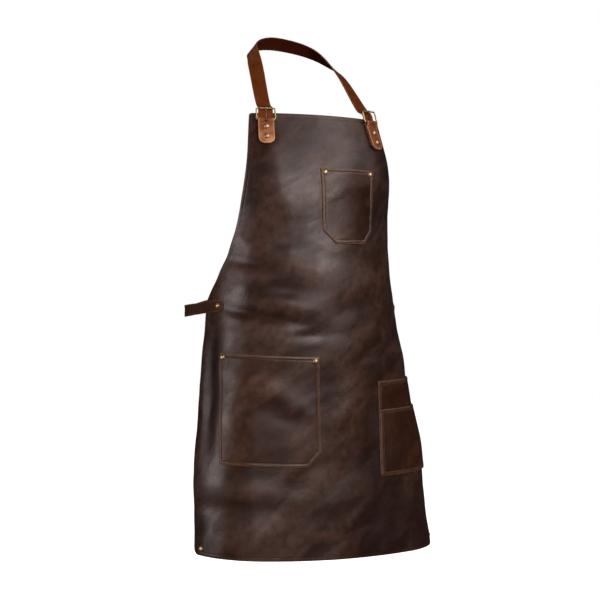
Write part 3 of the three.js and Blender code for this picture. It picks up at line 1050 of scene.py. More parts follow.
@dataclass
class Panel:
    """The one shaped hide of bib and skirt."""

    shape: PanelShape
    cell: float = 4.6
    hem_corner: float = 12.0
    bib_corner: float = 5.0
    crease_inset: float = 7.0
    crease_depth: float = 0.16
    crease_width: float = 0.8
    edge_roll: float = 0.35
    roll_width: float = 1.2
    rubbed: float = 0.5
    rub_width: float = 1.6
    grooved: float = 0.6
    rounding: float = 0.5
    columns: int = 118
    measures: int = 400
    edge_insets: tuple[float, ...] = (0, 0.7, 1.6, 3.0, 4.6, 5.8, 6.5, 7.0, 7.5, 8.2, 9.4, 11.8, 15.5)

    def corner_cut(self, distance: Array, radius: float) -> Array:
        """How far a rounded corner draws the side edge in, at a distance from the other edge."""
        into = np.maximum(radius - distance, 0.0)
        return radius - np.sqrt(radius * radius - into * into)

    def build(self, finishes: Finishes) -> Piece:
        """Args:
            finishes: The apron's finishes.

        Returns:
            The panel.
        """
        shape = self.shape
        heights = stations(0.0, shape.bib_top, self.cell, self.edge_insets)
        grading = Grading(self.edge_insets, self.columns)

        def place(column: Array, row: Array) -> Placed:
            """Points and corner values of the panel.

            Args:
                column: Column numbers.
                row: Row numbers.

            Returns:
                Points in metres, and how far each is rubbed, how far its crease groove is darkened with
                painted shade, and how far it is painted paler on ridges, partly stretched paling and partly
                painted sheen.
            """
            height = heights[row]
            cut = self.corner_cut(height, self.hem_corner)
            cut = cut + self.corner_cut(shape.bib_top - height, self.bib_corner)
            edge = shape.half_width(height) - cut
            across = grading.at(column, -edge, edge)
            inset = np.minimum(np.minimum(edge - np.abs(across), height), shape.bib_top - height)
            groove = bell(inset, self.crease_inset, self.crease_width)
            offset = -self.crease_depth * groove - self.edge_roll * bell(inset, 0.0, self.roll_width)
            # The groove value darkens the crease line as painted shade.
            values = {
                "edge": self.rubbed * np.exp(-inset / self.rub_width),
                "groove": self.grooved * groove,
                "crest": shape.crest(across, height),
            }
            return shape.points(across, height, offset), values

        bm = lay_sheet(grading.last, len(heights) - 1, place)
        piece = make_object(bm, "panel_leather", finishes.leather(Finish.PANEL, LeatherSides.PANEL))
        thicken(piece, shape.thickness, OUTER_FACE, self.rounding)
        settle(piece, Slot.APRON, "apron_panel")
        level = np.linspace(0, shape.bib_top, self.measures)
        half = shape.half_width(level)
        return piece


@dataclass
class Pocket:
    """A patch pocket, sewn to the panel round three sides, with two bottom corners cut off."""

    name: str
    shape: PanelShape
    left: float
    right: float
    bottom: float
    top: float
    cut_left: float
    cut_right: float
    stand: Callable[[Array, Array], Array] | float = LAYER_GAP
    thickness: float = 1.8
    bulge: float = 2.4
    bulge_share: float = 1.0
    grain: Finish = Finish.POCKET
    rubbed: float = 0.65
    cell: float = 4.2
    seam: float = 6.5
    groove_depth: float = 0.45
    groove_width: float = 0.9
    border_rise: float = 0.55
    border_width: float = 1.9
    # Painted highlight along the padded border between edge and seam.
    border_rub: float = 0.2
    edge_roll: float = 0.4
    roll_width: float = 1.0
    rub_width: float = 1.3
    rounding: float = 0.4
    corner_clear: float = 0.5
    edge_insets: tuple[float, ...] = (0, 0.6, 1.3, 2.2, 3.2, 4.2, 5.3, 6.0, 6.5, 7.0, 7.8, 9.2, 11.5)

    def belly(self, across: Array, height: Array) -> Array:
        """How far the pocket stands off the panel: least at its sewn edges, most at the mouth.

        Args:
            across: Places across the leather.
            height: Heights of those places.

        Returns:
            Distances beyond its sewn edges' own.
        """
        a = np.clip((across - self.left) / (self.right - self.left), 0, 1)
        b = np.clip((height - self.bottom) / (self.top - self.bottom), 0, 1)
        return self.bulge * self.bulge_share * np.sin(np.pi * a) * np.sin(0.5 * np.pi * b)

    def under(self, across: Array, height: Array) -> Array:
        """Distance of the pocket's back face from the panel's face."""
        base = self.stand(across, height) if callable(self.stand) else self.stand
        return base + self.belly(across, height)

    def inset(self, across: Array, height: Array) -> Array:
        """Distance from the nearest edge of the pocket's outline.

        Args:
            across: Places across the leather.
            height: Heights of those places.

        Returns:
            Distances inside the outline.
        """
        to_left = across - self.left
        to_right = self.right - across
        to_bottom = height - self.bottom
        slant_left = (to_left + to_bottom - self.cut_left) / math.sqrt(2)
        slant_right = (to_right + to_bottom - self.cut_right) / math.sqrt(2)
        sides = np.minimum(np.minimum(to_left, to_right), np.minimum(to_bottom, self.top - height))
        return np.minimum(sides, np.minimum(slant_left, slant_right))

    def face(self, across: Array, height: Array) -> Array:
        """Distance of the pocket's outer face from the panel's face, grooves included.

        Args:
            across: Places across the leather.
            height: Heights of those places.

        Returns:
            Distances in front of the panel's face.
        """
        inset = self.inset(across, height)
        groove = bell(inset, self.seam, self.groove_width)
        rolled = self.edge_roll * bell(np.maximum(inset, 0), 0.0, self.roll_width)
        rolled = rolled - self.border_rise * self.border(inset)
        return self.under(across, height) + self.thickness - self.groove_depth * groove - rolled

    def border(self, inset: Array) -> Array:
        """Share of the padded border between the edge and the seam at a distance from the edge."""
        return bell(inset, self.seam / 2, self.border_width)

    def build(self, finishes: Finishes, rests_on: str) -> Piece:
        """Args:
            finishes: The apron's finishes.
            rests_on: Name of the piece that it is sewn to; not used.

        Returns:
            The pocket.
        """
        places = stations(self.left, self.right, self.cell, self.edge_insets)
        corners = [self.left + self.cut_left, self.right - self.cut_right]
        places = with_marks(places, corners, self.corner_clear)
        grading = Grading(self.edge_insets, int((self.top - self.bottom) / self.cell))

        def place(column: Array, row: Array) -> Placed:
            """Points and corner values of the pocket.

            Args:
                column: Column numbers.
                row: Row numbers.

            Returns:
                Points in metres, and how far each is rubbed at its edge and painted with a highlight on its
                padded border, how far its seam groove is darkened with painted shade, and how far it is
                painted paler on ridges, partly stretched paling and partly painted sheen.
            """
            across = places[column]
            rise = np.maximum(self.left + self.cut_left - across, across - self.right + self.cut_right)
            height = grading.at(row, self.bottom + np.maximum(rise, 0), self.top)
            inset = self.inset(across, height)
            rubbed = self.rubbed * bell(np.maximum(inset, 0), 0.0, self.rub_width)
            # The edge value is the worn edge plus a painted highlight on the padded border.
            values = {
                "edge": rubbed + self.border_rub * self.border(inset),
                # The seam groove is darkened in the material as painted shade.
                "groove": bell(inset, self.seam, self.groove_width),
                "crest": self.shape.crest(across, height),
            }
            return self.shape.points(across, height, self.face(across, height)), values

        bm = lay_sheet(len(places) - 1, grading.last, place)
        leather = finishes.leather(self.grain, LeatherSides.POCKET)
        piece = make_object(bm, self.name + "_leather", leather)
        thicken(piece, self.thickness, OUTER_FACE, self.rounding)
        settle(piece, Slot.APRON, self.name)
        return piece

    def seam_line(self) -> list[tuple[float, float]]:
        """The stitched line, all round the pocket.

        Returns:
            Its corners on the leather, the first one again at the end.
        """
        inset = self.seam
        slant = inset * math.tan(math.pi / 8)
        left = self.left + inset
        right = self.right - inset
        low = self.bottom + inset
        high = self.top - inset
        return [
            (left, high),
            (left, self.bottom + self.cut_left + slant),
            (self.left + self.cut_left + slant, low),
            (self.right - self.cut_right - slant, low),
            (right, self.bottom + self.cut_right + slant),
            (right, high),
            (left, high),
        ]


@dataclass
class Stitching:
    """Rows of thread along a seam."""

    name: str
    pitch: float = 4.6
    length: float = 4.4
    width: float = 1.15
    height: float = 0.9
    slant: float = 7.0
    lift: float = 0.15
    sides: int = 6
    rings: int = 5
    thread: Finish = Finish.DARK_THREAD

    def build(self, pocket: Pocket, finishes: Finishes, line: Table) -> Piece:
        """Lays stitches along a line on a pocket's face.

        Args:
            pocket: The pocket that is sewn.
            finishes: The apron's finishes.
            line: Corners of the seam, on the leather.

        Returns:
            The stitches as one piece.
        """
        bm = bmesh.new()
        half = MM / 2
        size = Matrix.Diagonal((self.length * half, self.width * half, self.height * half, 1))
        lying = Matrix.Rotation(math.pi / 2, 4, "Y")
        for start, end in zip(line, line[1:]):
            run = math.dist(start, end)
            count = max(int(round(run / self.pitch)), 1)
            heading = math.atan2(end[1] - start[1], end[0] - start[0]) + math.radians(self.slant)
            for k in range(count):
                share = (k + 0.5) / count
                across = start[0] + share * (end[0] - start[0])
                height = start[1] + share * (end[1] - start[1])
                face = float(pocket.face(np.array(across), np.array(height)))
                where = pocket.shape.placing(across, height, face + self.lift)
                turn = Matrix.Rotation(heading, 4, "Z")
                bmesh.ops.create_uvsphere(bm, u_segments=self.sides, v_segments=self.rings, radius=1.0,
                                          matrix=where @ turn @ size @ lying)
        piece = make_object(bm, self.name, [finishes.get(self.thread)])
        settle(piece, Slot.STRAP)
        return piece


@dataclass
class Ribbon:
    """A flat strip of leather along a course, with its width turned along a second line."""

    width: float
    crease_inset: float = 2.6
    crease_width: float = 0.6
    crease_depth: float = 0.22
    edge_roll: float = 0.3
    roll_width: float = 0.8
    rubbed: float = 0.8
    rub_width: float = 1.1
    grooved: float = 0.8
    cell: float = 2.6
    insets: tuple[float, ...] = (0, 0.5, 1.1, 1.9, 2.6, 3.3, 4.4)

    def lay(self, course: SmoothCourse, widths: SmoothCourse, steps: int,
            taper: Callable[[float], float] | None = None) -> Mesh:
        """Makes the strip as a sheet through its middle.

        Args:
            course: Line of the strip's middle, in millimetres.
            widths: Direction of its width along that line.
            steps: Number of cells along it.
            taper: Share of the full width at a share of the course.

        Returns:
            The open sheet, facing out.
        """
        places = stations(-self.width / 2, self.width / 2, self.cell, self.insets)
        shares = np.arange(steps + 1) / steps
        middle = np.array([course.point(t) for t in shares])
        along = np.array([course.tangent(t) for t in shares])
        wide = np.array([widths.point(t) for t in shares])
        wide = unit(wide - along * np.sum(wide * along, axis=1, keepdims=True))
        out = np.cross(wide, along)
        narrow = np.array([taper(t) if taper else 1.0 for t in shares])

        def place(column: Array, row: Array) -> Placed:
            """Points and corner values of the strip.

            Args:
                column: Column numbers.
                row: Row numbers.

            Returns:
                Points in metres, and how far each is rubbed, and how far its crease groove is darkened with
                painted shade.
            """
            sideways = places[column] * narrow[row]
            inset = self.width / 2 * narrow[row] - np.abs(sideways)
            groove = bell(inset, self.crease_inset, self.crease_width)
            stand = -self.crease_depth * groove - self.edge_roll * bell(inset, 0.0, self.roll_width)
            points = middle[row] + wide[row] * sideways[:, None] + out[row] * stand[:, None]
            rubbed = self.rubbed * np.exp(-inset / self.rub_width)
            # The groove value darkens the crease as painted shade.
            return points * MM, {"edge": rubbed, "groove": self.grooved * groove}

        return lay_sheet(len(places) - 1, steps, place)


@dataclass(frozen=True)
class TabPlace:
    """Where the strap tabs and buckles sit on the bib."""

    shape: PanelShape
    across: float = 117.0
    lean: float = 0.12
    rivets: tuple[float, float] = (786.0, 805.0)
    end: float = 773.0
    width: float = 29.5
    leather: float = 2.0
    strap: float = 2.4
    gap: float = 0.3
    bar: float = 1.5
    clearance: float = 0.6
    left_bar: float = 818.0
    right_bar: float = 825.5

    @property
    def back(self) -> float:
        """Distance of the tab's back layer from the panel's face, over the strap's tail."""
        return 2 * self.gap + self.strap + self.leather / 2

    @property
    def fold(self) -> float:
        """Radius of the tab's fold round the buckle's bar."""
        return self.bar + self.clearance + self.leather / 2

    @property
    def buckle_plane(self) -> float:
        """Distance of the buckle's bars from the panel's face."""
        return self.back + self.fold

    @property
    def flat(self) -> float:
        """Distance of the tab's front layer where it lies on the back one."""
        return self.back + self.leather + self.gap

    def bar_height(self, side: Side) -> float:
        """Height of the buckle's bottom bar, inside the tab's fold."""
        return self.left_bar if side is Side.LEFT else self.right_bar

    def mid(self, side: Side, height: Array | float) -> Array:
        """Mid-line of the leaning tab at a height."""
        return side.value * (self.across + self.lean * (self.rivets[1] - np.asarray(height, float)))

    def axes(self, side: Side, height: Array) -> tuple[Array, Array, Array]:
        """Directions on the tab.

        Args:
            side: Which of the two tabs.
            height: Heights on its mid-line.

        Returns:
            Unit vectors across the tab, up along it and out of the leather.
        """
        height = np.asarray(height, float)
        above = self.shape.plain(self.mid(side, height + 1), height + 1)
        up = unit(above - self.shape.plain(self.mid(side, height - 1), height - 1))
        out = self.shape.axes(self.mid(side, height), height)[2]
        return unit(np.cross(up, out)), up, out

    def placing(self, side: Side, height: float, offset: float) -> Matrix:
        """Placing matrix on the tab's mid-line.

        Args:
            side: Which of the two tabs.
            height: Height on its mid-line.
            offset: Distance in front of the panel's face.

        Returns:
            The matrix, with +Y up the tab and +Z out of it.
        """
        at = np.array(height, float)
        crosswise, up, out = self.axes(side, at)
        return placing_matrix(crosswise, up, out, self.shape.points(self.mid(side, at), at, offset))


@dataclass
class StrapTab:
    """A doubled leather tab that holds a buckle on the bib."""

    place: TabPlace
    round_end: float = 11.0
    round_share: float = 0.93
    round_power: float = 2.4
    slot_half: float = 2.5
    slot_below: float = 4.0
    slot_margin: float = 0.05
    slot_clear: float = 0.06
    crease_inset: float = 2.6
    crease_width: float = 0.7
    crease_depth: float = 0.22
    edge_roll: float = 0.3
    roll_width: float = 0.8
    rubbed: float = 0.8
    rub_width: float = 1.5
    grooved: float = 0.5
    # Painted light on the tabs: paler toward the lower end, darker toward the buckle as painted shade; the
    # right tab gets little, staying in painted shade.
    paled: tuple[float, float] = (1.0, 0.15)
    pale_start: float = 1.35
    pale_run: float = 34.0
    rounding: float = 0.45
    steps: int = 150
    cell: float = 0.16
    edge_shares: tuple[float, ...] = (0, 0.05, 0.1, 0.17, 0.24, 0.32)
    fold_steps: int = 6

    def course(self, side: Side) -> SmoothCourse:
        """The tab seen from the side: up to the buckle's bar, round it and down the back.

        Args:
            side: Which of the two tabs.

        Returns:
            Its line, as height and distance from the panel's face.
        """
        p = self.place
        bar = p.bar_height(side)
        points = [
            (p.end, p.flat),
            (p.end + 4, p.flat),
            (p.rivets[0], p.flat),
            (bar - 7, p.flat),
            (bar - 3, p.buckle_plane + p.fold - 1),
        ]
        for k in range(self.fold_steps + 1):
            angle = k / self.fold_steps * math.pi
            points.append((bar + p.fold * math.sin(angle), p.buckle_plane + p.fold * math.cos(angle)))
        points += [(p.rivets[1], p.back), (p.rivets[0], p.back), (p.end + 4, p.back), (p.end, p.back)]
        return SmoothCourse(points)

    def half_width(self, height: Array) -> Array:
        """Half width of the tab, drawn in round its end."""
        short = np.clip((self.place.end + self.round_end - height) / self.round_end, 0, 1)
        return self.place.width / 2 * np.sqrt(1 - self.round_share * short**self.round_power)

    def build(self, side: Side, finishes: Finishes) -> Piece:
        """Makes one tab, with the slot that lets the prong through its fold.

        Args:
            side: Which of the two tabs.
            finishes: The apron's finishes.

        Returns:
            The tab.
        """
        line = self.course(side)
        shares = np.arange(self.steps + 1) / self.steps
        profile = np.array([line.point(t) for t in shares])
        slant = np.array([line.tangent(t) for t in shares])
        slot = self.slot_half / (self.place.width / 2)
        places = stations(-1.0, 1.0, self.cell, self.edge_shares)
        places = with_marks(places, (-slot, slot), self.slot_clear)
        paled = self.paled[0 if side is Side.LEFT else 1]

        def place(column: Array, row: Array) -> Placed:
            """Points and corner values of the tab.

            Args:
                column: Column numbers.
                row: Row numbers.

            Returns:
                Points in metres, and how far each is rubbed, how far its crease groove is darkened with
                painted shade, and its painted light: paler toward the lower end, darker as painted shade
                toward the buckle.
            """
            height = profile[row, 0]
            half = self.half_width(height)
            sideways = places[column] * half
            end = height - self.place.end
            inset = np.minimum(half - np.abs(sideways), end)
            groove = bell(inset, self.crease_inset, self.crease_width)
            sunk = self.crease_depth * groove + self.edge_roll * bell(inset, 0.0, self.roll_width)
            offset = profile[row, 1] - slant[row, 0] * sunk
            crosswise = self.place.axes(side, height)[0]
            points = self.place.shape.points(self.place.mid(side, height), height, offset)
            # The tab's corner value paints light toward its lower end and shade toward the buckle.
            values = {
                "edge": self.rubbed * np.exp(-np.maximum(inset, 0) / self.rub_width),
                "groove": self.grooved * groove,
                "crest": paled * np.clip(self.pale_start - end / self.pale_run, 0.0, 1.0),
            }
            return points + crosswise * (sideways * MM)[:, None], values

        bm = lay_sheet(len(places) - 1, self.steps, place)
        self.cut_slot(bm, side)
        name = f"strap_tab_{side.label}"
        piece = make_object(bm, name + "_leather", finishes.leather(Finish.TAB, LeatherSides.STRAP))
        thicken(piece, self.place.leather, MIDDLE, self.rounding)
        settle(piece, Slot.STRAP, name)
        return piece

    def cut_slot(self, bm: Mesh, side: Side) -> None:
        """Takes the prong's slot out of the fold.

        Args:
            bm: The tab as an open sheet.
            side: Which of the two tabs.
        """
        low = self.place.bar_height(side) - self.slot_below
        centre = self.place.placing(side, low, self.place.buckle_plane).inverted()
        limit = (self.slot_half - self.slot_margin) * MM
        faces = []
        for face in bm.faces:
            local = centre @ face.calc_center_median()
            if abs(local.x) < limit and local.y > 0:
                faces.append(face)
        bmesh.ops.delete(bm, geom=faces, context="FACES")


def tube(course: SmoothCourse, radius: Callable[[float], float], sides: int, steps: int,
         closed: bool, shaded_to: float = 0.0) -> Mesh:
    """A round rod along a course.

    Args:
        course: Line of the rod's middle, in metres.
        radius: Radius at a share of the course, in metres.
        sides: Number of cells round it.
        steps: Number of cells along it.
        closed: Whether its two ends meet.
        shaded_to: Share of the course up to which the rod is darkened with painted shade.

    Returns:
        The rod as a closed shape.
    """
    shares = np.arange(steps + 1) / steps
    middle = np.array([course.point(t) for t in shares])
    along = np.array([course.tangent(t) for t in shares])
    if closed:
        along[0] = along[-1] = unit(along[0] + along[-1])
    plane = unit(np.cross(middle[steps // 3] - middle[0], middle[2 * steps // 3] - middle[0]))
    beside = unit(np.cross(along, plane))
    lift = np.cross(beside, along)
    thick = np.array([radius(t) for t in shares])

    def place(column: Array, row: Array) -> Placed:
        """Points and corner values of the rod.

        Args:
            column: Numbers round the rod.
            row: Numbers along it.

        Returns:
            Points in metres, and how far each is darkened with painted shade.
        """
        angle = 2 * np.pi * column / sides
        around = beside[row] * np.cos(angle)[:, None] + lift[row] * np.sin(angle)[:, None]
        return middle[row] + around * thick[row][:, None], {"recess": 1.0 * (shares[row] < shaded_to)}

    bm = lay_sheet(sides, steps, place)
    bmesh.ops.remove_doubles(bm, verts=bm.verts[:], dist=SAME_POINT)
    rims = [edge for edge in bm.edges if edge.is_boundary]
    if rims:
        bmesh.ops.holes_fill(bm, edges=rims, sides=0)
    bmesh.ops.recalc_face_normals(bm, faces=bm.faces[:])
    return bm


@dataclass
class Buckle:
    """A wire buckle with its prong, both on the bar inside the tab's fold."""

    place: TabPlace
    width: float = 35.5
    height: float = 23.0
    corner: float = 0.2
    corner_steps: int = 72
    first_angle: float = 0.02
    sides: int = 14
    steps: int = 144
    prong: float = 0.9
    prong_sides: int = 12
    prong_steps: int = 48
    prong_tip: float = 0.8
    prong_taper: float = 1.6

    def frame_line(self) -> SmoothCourse:
        """The rounded rectangle of the frame's wire, in its own plane.

        Returns:
            Its line in metres.
        """
        points = []
        for k in range(self.corner_steps + 1):
            angle = 2 * math.pi * k / self.corner_steps + self.first_angle
            c = math.cos(angle)
            s = math.sin(angle)
            x = math.copysign(abs(c) ** self.corner, c) * self.width / 2
            y = math.copysign(abs(s) ** self.corner, s) * self.height / 2
            points.append((x * MM, y * MM, 0.0))
        return SmoothCourse(points)

    def prong_line(self, hook: float) -> SmoothCourse:
        """The prong's line: from under the bottom bar, round it and over the top bar.

        Args:
            hook: Radius of its hook round the bar.

        Returns:
            Its line in metres.
        """
        top = self.height / 2
        points = (
            (-top + 0.5 * hook, -0.87 * hook),
            (-top - 0.5 * hook, -0.87 * hook),
            (-top - hook, 0),
            (-top - 0.5 * hook, 0.87 * hook),
            (-top + 0.7 * hook, 1.05 * hook),
            (top, 1.12 * hook),
            (top + 2, 1.05 * hook),
        )
        return SmoothCourse([(0, up * MM, out * MM) for up, out in points])

    def prong_radius(self, share: float) -> float:
        """Radius of the prong in metres, drawn in towards its tip."""
        drawn = self.prong_taper * max(share - self.prong_tip, 0.0)
        return self.prong * (1.0 - drawn) * MM

    def build(self, side: Side, finishes: Finishes) -> list[Piece]:
        """Makes one buckle and its prong.

        Args:
            side: Which of the two buckles.
            finishes: The apron's finishes.

        Returns:
            The frame and the prong.
        """
        p = self.place
        where = p.placing(side, p.bar_height(side) + self.height / 2, p.buckle_plane)
        bm = tube(self.frame_line(), lambda share: p.bar * MM, self.sides, self.steps, True)
        bmesh.ops.transform(bm, matrix=where, verts=bm.verts[:])
        buckle = make_object(bm, f"buckle_{side.label}_brass", [finishes.get(Finish.BRASS)])
        settle(buckle, Slot.BRASS, f"buckle_{side.label}")
        line = self.prong_line(p.bar + p.gap + self.prong)
        # The prong is darkened up to its tip as painted shade, where it lies inside the frame.
        rod = tube(line, self.prong_radius, self.prong_sides, self.prong_steps, False, self.prong_tip)
        bmesh.ops.transform(rod, matrix=where, verts=rod.verts[:])
        prong = make_object(rod, f"buckle_prong_{side.label}_brass", [finishes.get(Finish.BRASS)])
        settle(prong, Slot.BRASS, f"buckle_prong_{side.label}")
        return [buckle, prong]


@dataclass
class Rivet:
    """A domed rivet: cap with a thin brim, post and back plate."""

    cap: float = 5.4
    dome: float = 2.4
    brim: float = 0.55
    post: float = 2.0
    plate: float = 4.4
    plate_thickness: float = 1.0
    gap: float = 0.7
    seat: float = 0.55
    steps: int = 32
    dome_steps: int = 8
    finish: Finish = Finish.BRASS

    def build(self, name: str, where: Matrix, back: float, front: float,
              finishes: Finishes) -> Piece:
        """Spins one rivet about its post.

        Args:
            name: Name of the solid that it stands for.
            where: Place on the panel's face.
            back: Distance of the stack's back from that face.
            front: Distance of the stack's front from it.
            finishes: The apron's finishes.

        Returns:
            The rivet.
        """
        under = back - self.gap
        over = front + self.gap - self.seat
        profile = [
            (0, under - self.plate_thickness, 0.2),
            (self.plate - 0.4, under - self.plate_thickness, 0.2),
            (self.plate, under - self.plate_thickness + 0.4, 0.5),
            (self.plate, under, 0.8),
            (self.post, under, 1.0),
            (self.post, over, 1.0),
            (self.cap - 0.15, over, 1.0),
            (self.cap, over + 0.2, 0.75),
            (self.cap - 0.1, over + self.brim, 0.5),
            (self.cap - 0.75, over + self.brim + 0.12, 0.9),
        ]
        base = self.cap - 0.9
        rise = self.dome - self.brim + self.seat - 0.2
        for k in range(1, self.dome_steps + 1):
            angle = k / self.dome_steps * math.pi / 2
            height = over + self.brim + 0.2 + rise * math.sin(angle)
            profile.append((base * math.cos(angle), height, 0.35 * math.cos(angle) ** 3))
        profile[-1] = (0, profile[-1][1], 0.0)
        bm = bmesh.new()
        recess = bm.verts.layers.float.new("recess")
        verts = []
        for radius, height, shade in profile:
            vert = bm.verts.new((radius * MM, 0, height * MM))
            vert[recess] = shade
            verts.append(vert)
        edges = [bm.edges.new(pair) for pair in zip(verts, verts[1:])]
        bmesh.ops.spin(bm, geom=verts + edges, cent=(0, 0, 0), axis=(0, 0, 1), angle=2 * math.pi,
                       steps=self.steps, use_merge=True)
        bmesh.ops.remove_doubles(bm, verts=bm.verts[:], dist=SAME_POINT)
        bmesh.ops.recalc_face_normals(bm, faces=bm.faces[:])
        bmesh.ops.transform(bm, matrix=where, verts=bm.verts[:])
        piece = make_object(bm, name + "_brass", [finishes.get(self.finish)])
        settle(piece, Slot.BRASS, name)
        return piece


@dataclass
class NeckStrap:
    """The strap from one tail under its tab over the nape to the other."""

    place: TabPlace
    width: float = 28.0
    thickness: float = 2.4
    nape_roll: float = -55.5
    rounding: float = 0.5
    steps: int = 420
    measures: int = 400
    tail: Table = ((780, 1.5), (800, 1.5), (824, 1.5), (843, 1.5))
    course: tuple[tuple[float, float, float, float], ...] = (
        (109, -166.5, -147.5, 3.5),
        (93, -106, -71, -13.5),
        (80, -69, -40, -40),
        (69, -41.5, -22.5, -47.5),
        (44, -17.5, -8.7, -51.5),
    )

    def lines(self) -> tuple[SmoothCourse, SmoothCourse]:
        """The strap from its right tail over the nape to its left tail.

        Returns:
            The line of its middle and the direction of its width along that line.
        """
        points = []
        widths = []
        for height, offset in self.tail:
            where = self.place.placing(Side.RIGHT, height, offset)
            points.append(np.array(where.translation) / MM)
            widths.append(np.array(where.col[0][:3]))
        stops = [row[:3] for row in self.course] + [(0.0, self.thickness / 2, 0.0)]
        rolls = [row[3] for row in self.course] + [self.nape_roll]
        flip = np.array((-1, 1, 1))
        for k, stop in enumerate(stops):
            before = np.array(stops[k - 1]) if k else points[-1]
            after = np.array(stops[k + 1]) if k + 1 < len(stops) else before * flip
            along = unit(after - before)
            level = unit(np.cross(along, (0, 0, 1)))
            steep = np.cross(level, along)
            roll = math.radians(rolls[k])
            points.append(np.array(stop))
            widths.append(level * math.cos(roll) + steep * math.sin(roll))
        points += [p * flip for p in points[-2::-1]]
        widths += [w * flip for w in widths[-2::-1]]
        return SmoothCourse(points), SmoothCourse(widths)

    def build(self, finishes: Finishes) -> Piece:
        """Makes the strap.

        Args:
            finishes: The apron's finishes.

        Returns:
            The strap.
        """
        course, widths = self.lines()
        bm = Ribbon(self.width).lay(course, widths, self.steps)
        leather = finishes.leather(Finish.STRAP, LeatherSides.STRAP)
        piece = make_object(bm, "neck_strap_leather", leather)
        thicken(piece, self.thickness, MIDDLE, self.rounding)
        settle(piece, Slot.STRAP, "neck_strap")
        length = course.length(self.measures)
        return piece


@dataclass
class WaistLoop:
    """A folded strip that is riveted through the panel and stands out past its edge."""

    shape: PanelShape
    width: float = 22.0
    thickness: float = 2.0
    gap: float = 0.7
    height: float = 463.0
    inner_end: float = 225.0
    rivet: float = 237.0
    edge: float = 277.0
    reach: float = 68.0
    turn: float = 80.0
    half_gap: float = 7.5
    droop: float = 7.5
    front_drop: float = 6.0
    back_drop: float = 1.5
    crease_inset: float = 2.4
    round_run: float = 0.045
    round_share: float = 0.97
    rounding: float = 0.45
    laid_points: int = 5
    steps: int = 220
    measures: int = 300
    bow: Table = ((0.3, 0.75), (0.55, 1), (0.85, 0.85), (1, 0), (0.85, -0.85), (0.55, -1), (0.3, -0.75))

    def taper(self, share: float) -> float:
        """Share of the full width at a share of the course, drawn in round both ends."""
        short = max(1 - min(share, 1 - share) / self.round_run, 0.0)
        return math.sqrt(1 - self.round_share * short**2)

    def lines(self, hand: int) -> tuple[SmoothCourse, SmoothCourse]:
        """The loop from its front end round the bow to its back end.

        Args:
            hand: -1 on the left and 1 on the right.

        Returns:
            The line of its middle and the direction of its width along that line.
        """
        laid = np.linspace(self.inner_end, self.edge, self.laid_points)
        level = np.full(self.laid_points, self.height)
        sunk = (laid - self.rivet) / (self.edge - self.rivet)
        outside = self.gap + self.thickness / 2
        front = self.shape.points(hand * laid, level - self.front_drop * sunk, outside) / MM
        inside = -self.shape.thickness - outside
        back = self.shape.points(hand * laid, level - self.back_drop * sunk, inside) / MM
        turn = math.radians(self.turn)
        ahead = np.array((hand * math.cos(turn), math.sin(turn), 0))
        aside = np.array((hand * math.sin(turn), -math.cos(turn), 0))
        middle = -self.shape.thickness / 2
        start = self.shape.points(np.array(hand * self.edge), np.array(self.height), middle) / MM
        bow = []
        for k, (out, gap) in enumerate(self.bow):
            point = start + ahead * out * self.reach + aside * gap * self.half_gap
            share = k / (len(self.bow) - 1)
            point[2] = front[-1, 2] * (1 - share) + back[-1, 2] * share - out * self.droop
            bow.append(point)
        up = self.shape.axes(hand * laid, level)[1] * -hand
        course = SmoothCourse([*front, *bow, *back[::-1]])
        return course, SmoothCourse([*up, *[up[-1]] * len(bow), *up[::-1]])

    def build(self, side: Side, finishes: Finishes) -> Piece:
        """Makes one loop.

        Args:
            side: Which of the two loops.
            finishes: The apron's finishes.

        Returns:
            The loop.
        """
        course, widths = self.lines(side.value)
        bm = Ribbon(self.width, self.crease_inset).lay(course, widths, self.steps, self.taper)
        name = f"waist_loop_{side.label}"
        piece = make_object(bm, name + "_leather", finishes.leather(Finish.LOOP, LeatherSides.PANEL))
        thicken(piece, self.thickness, MIDDLE, self.rounding)
        settle(piece, Slot.APRON, name)
        length = course.length(self.measures)
        return piece


@dataclass
class Hardware:
    """All rivets of the apron, by the stacks of leather that they hold."""

    shape: PanelShape
    tabs: TabPlace
    loop: WaistLoop
    pocket_inset: float = 8.0
    hem_across: float = 280.0
    hem_height: float = 12.0

    def build(self, pockets: Sequence[Pocket], finishes: Finishes) -> list[Piece]:
        """Sets every rivet at its place.

        Args:
            pockets: The riveted pockets.
            finishes: The apron's finishes.

        Returns:
            The rivets.
        """
        wall = self.shape.thickness
        rivet = Rivet()
        tanned = Rivet(finish=Finish.COPPER)
        made = []
        for pocket in pockets:
            height = pocket.top - self.pocket_inset
            ends = (pocket.left + self.pocket_inset, pocket.right - self.pocket_inset)
            for side, across in zip(Side, ends):
                front = float(pocket.under(np.array(across), np.array(height))) + pocket.thickness
                name = f"rivet_{pocket.name.split('_')[0]}_{side.label}"
                where = self.shape.placing(across, height, 0)
                made.append(rivet.build(name, where, -wall, front, finishes))
        stack = self.tabs.flat + self.tabs.leather / 2
        loop = self.loop.gap + self.loop.thickness
        for side in Side:
            for level, height in zip(("lower", "upper"), self.tabs.rivets):
                where = self.shape.placing(float(self.tabs.mid(side, height)), height, 0)
                name = f"rivet_tab_{side.label}_{level}"
                made.append(tanned.build(name, where, -wall, stack, finishes))
            where = self.shape.placing(side.value * self.loop.rivet, self.loop.height, 0)
            made.append(tanned.build(f"rivet_waist_{side.label}", where, -wall - loop, loop, finishes))
            where = self.shape.placing(side.value * self.hem_across, self.hem_height, 0)
            made.append(rivet.build(f"rivet_hem_{side.label}", where, -wall, 0.0, finishes))
        return made


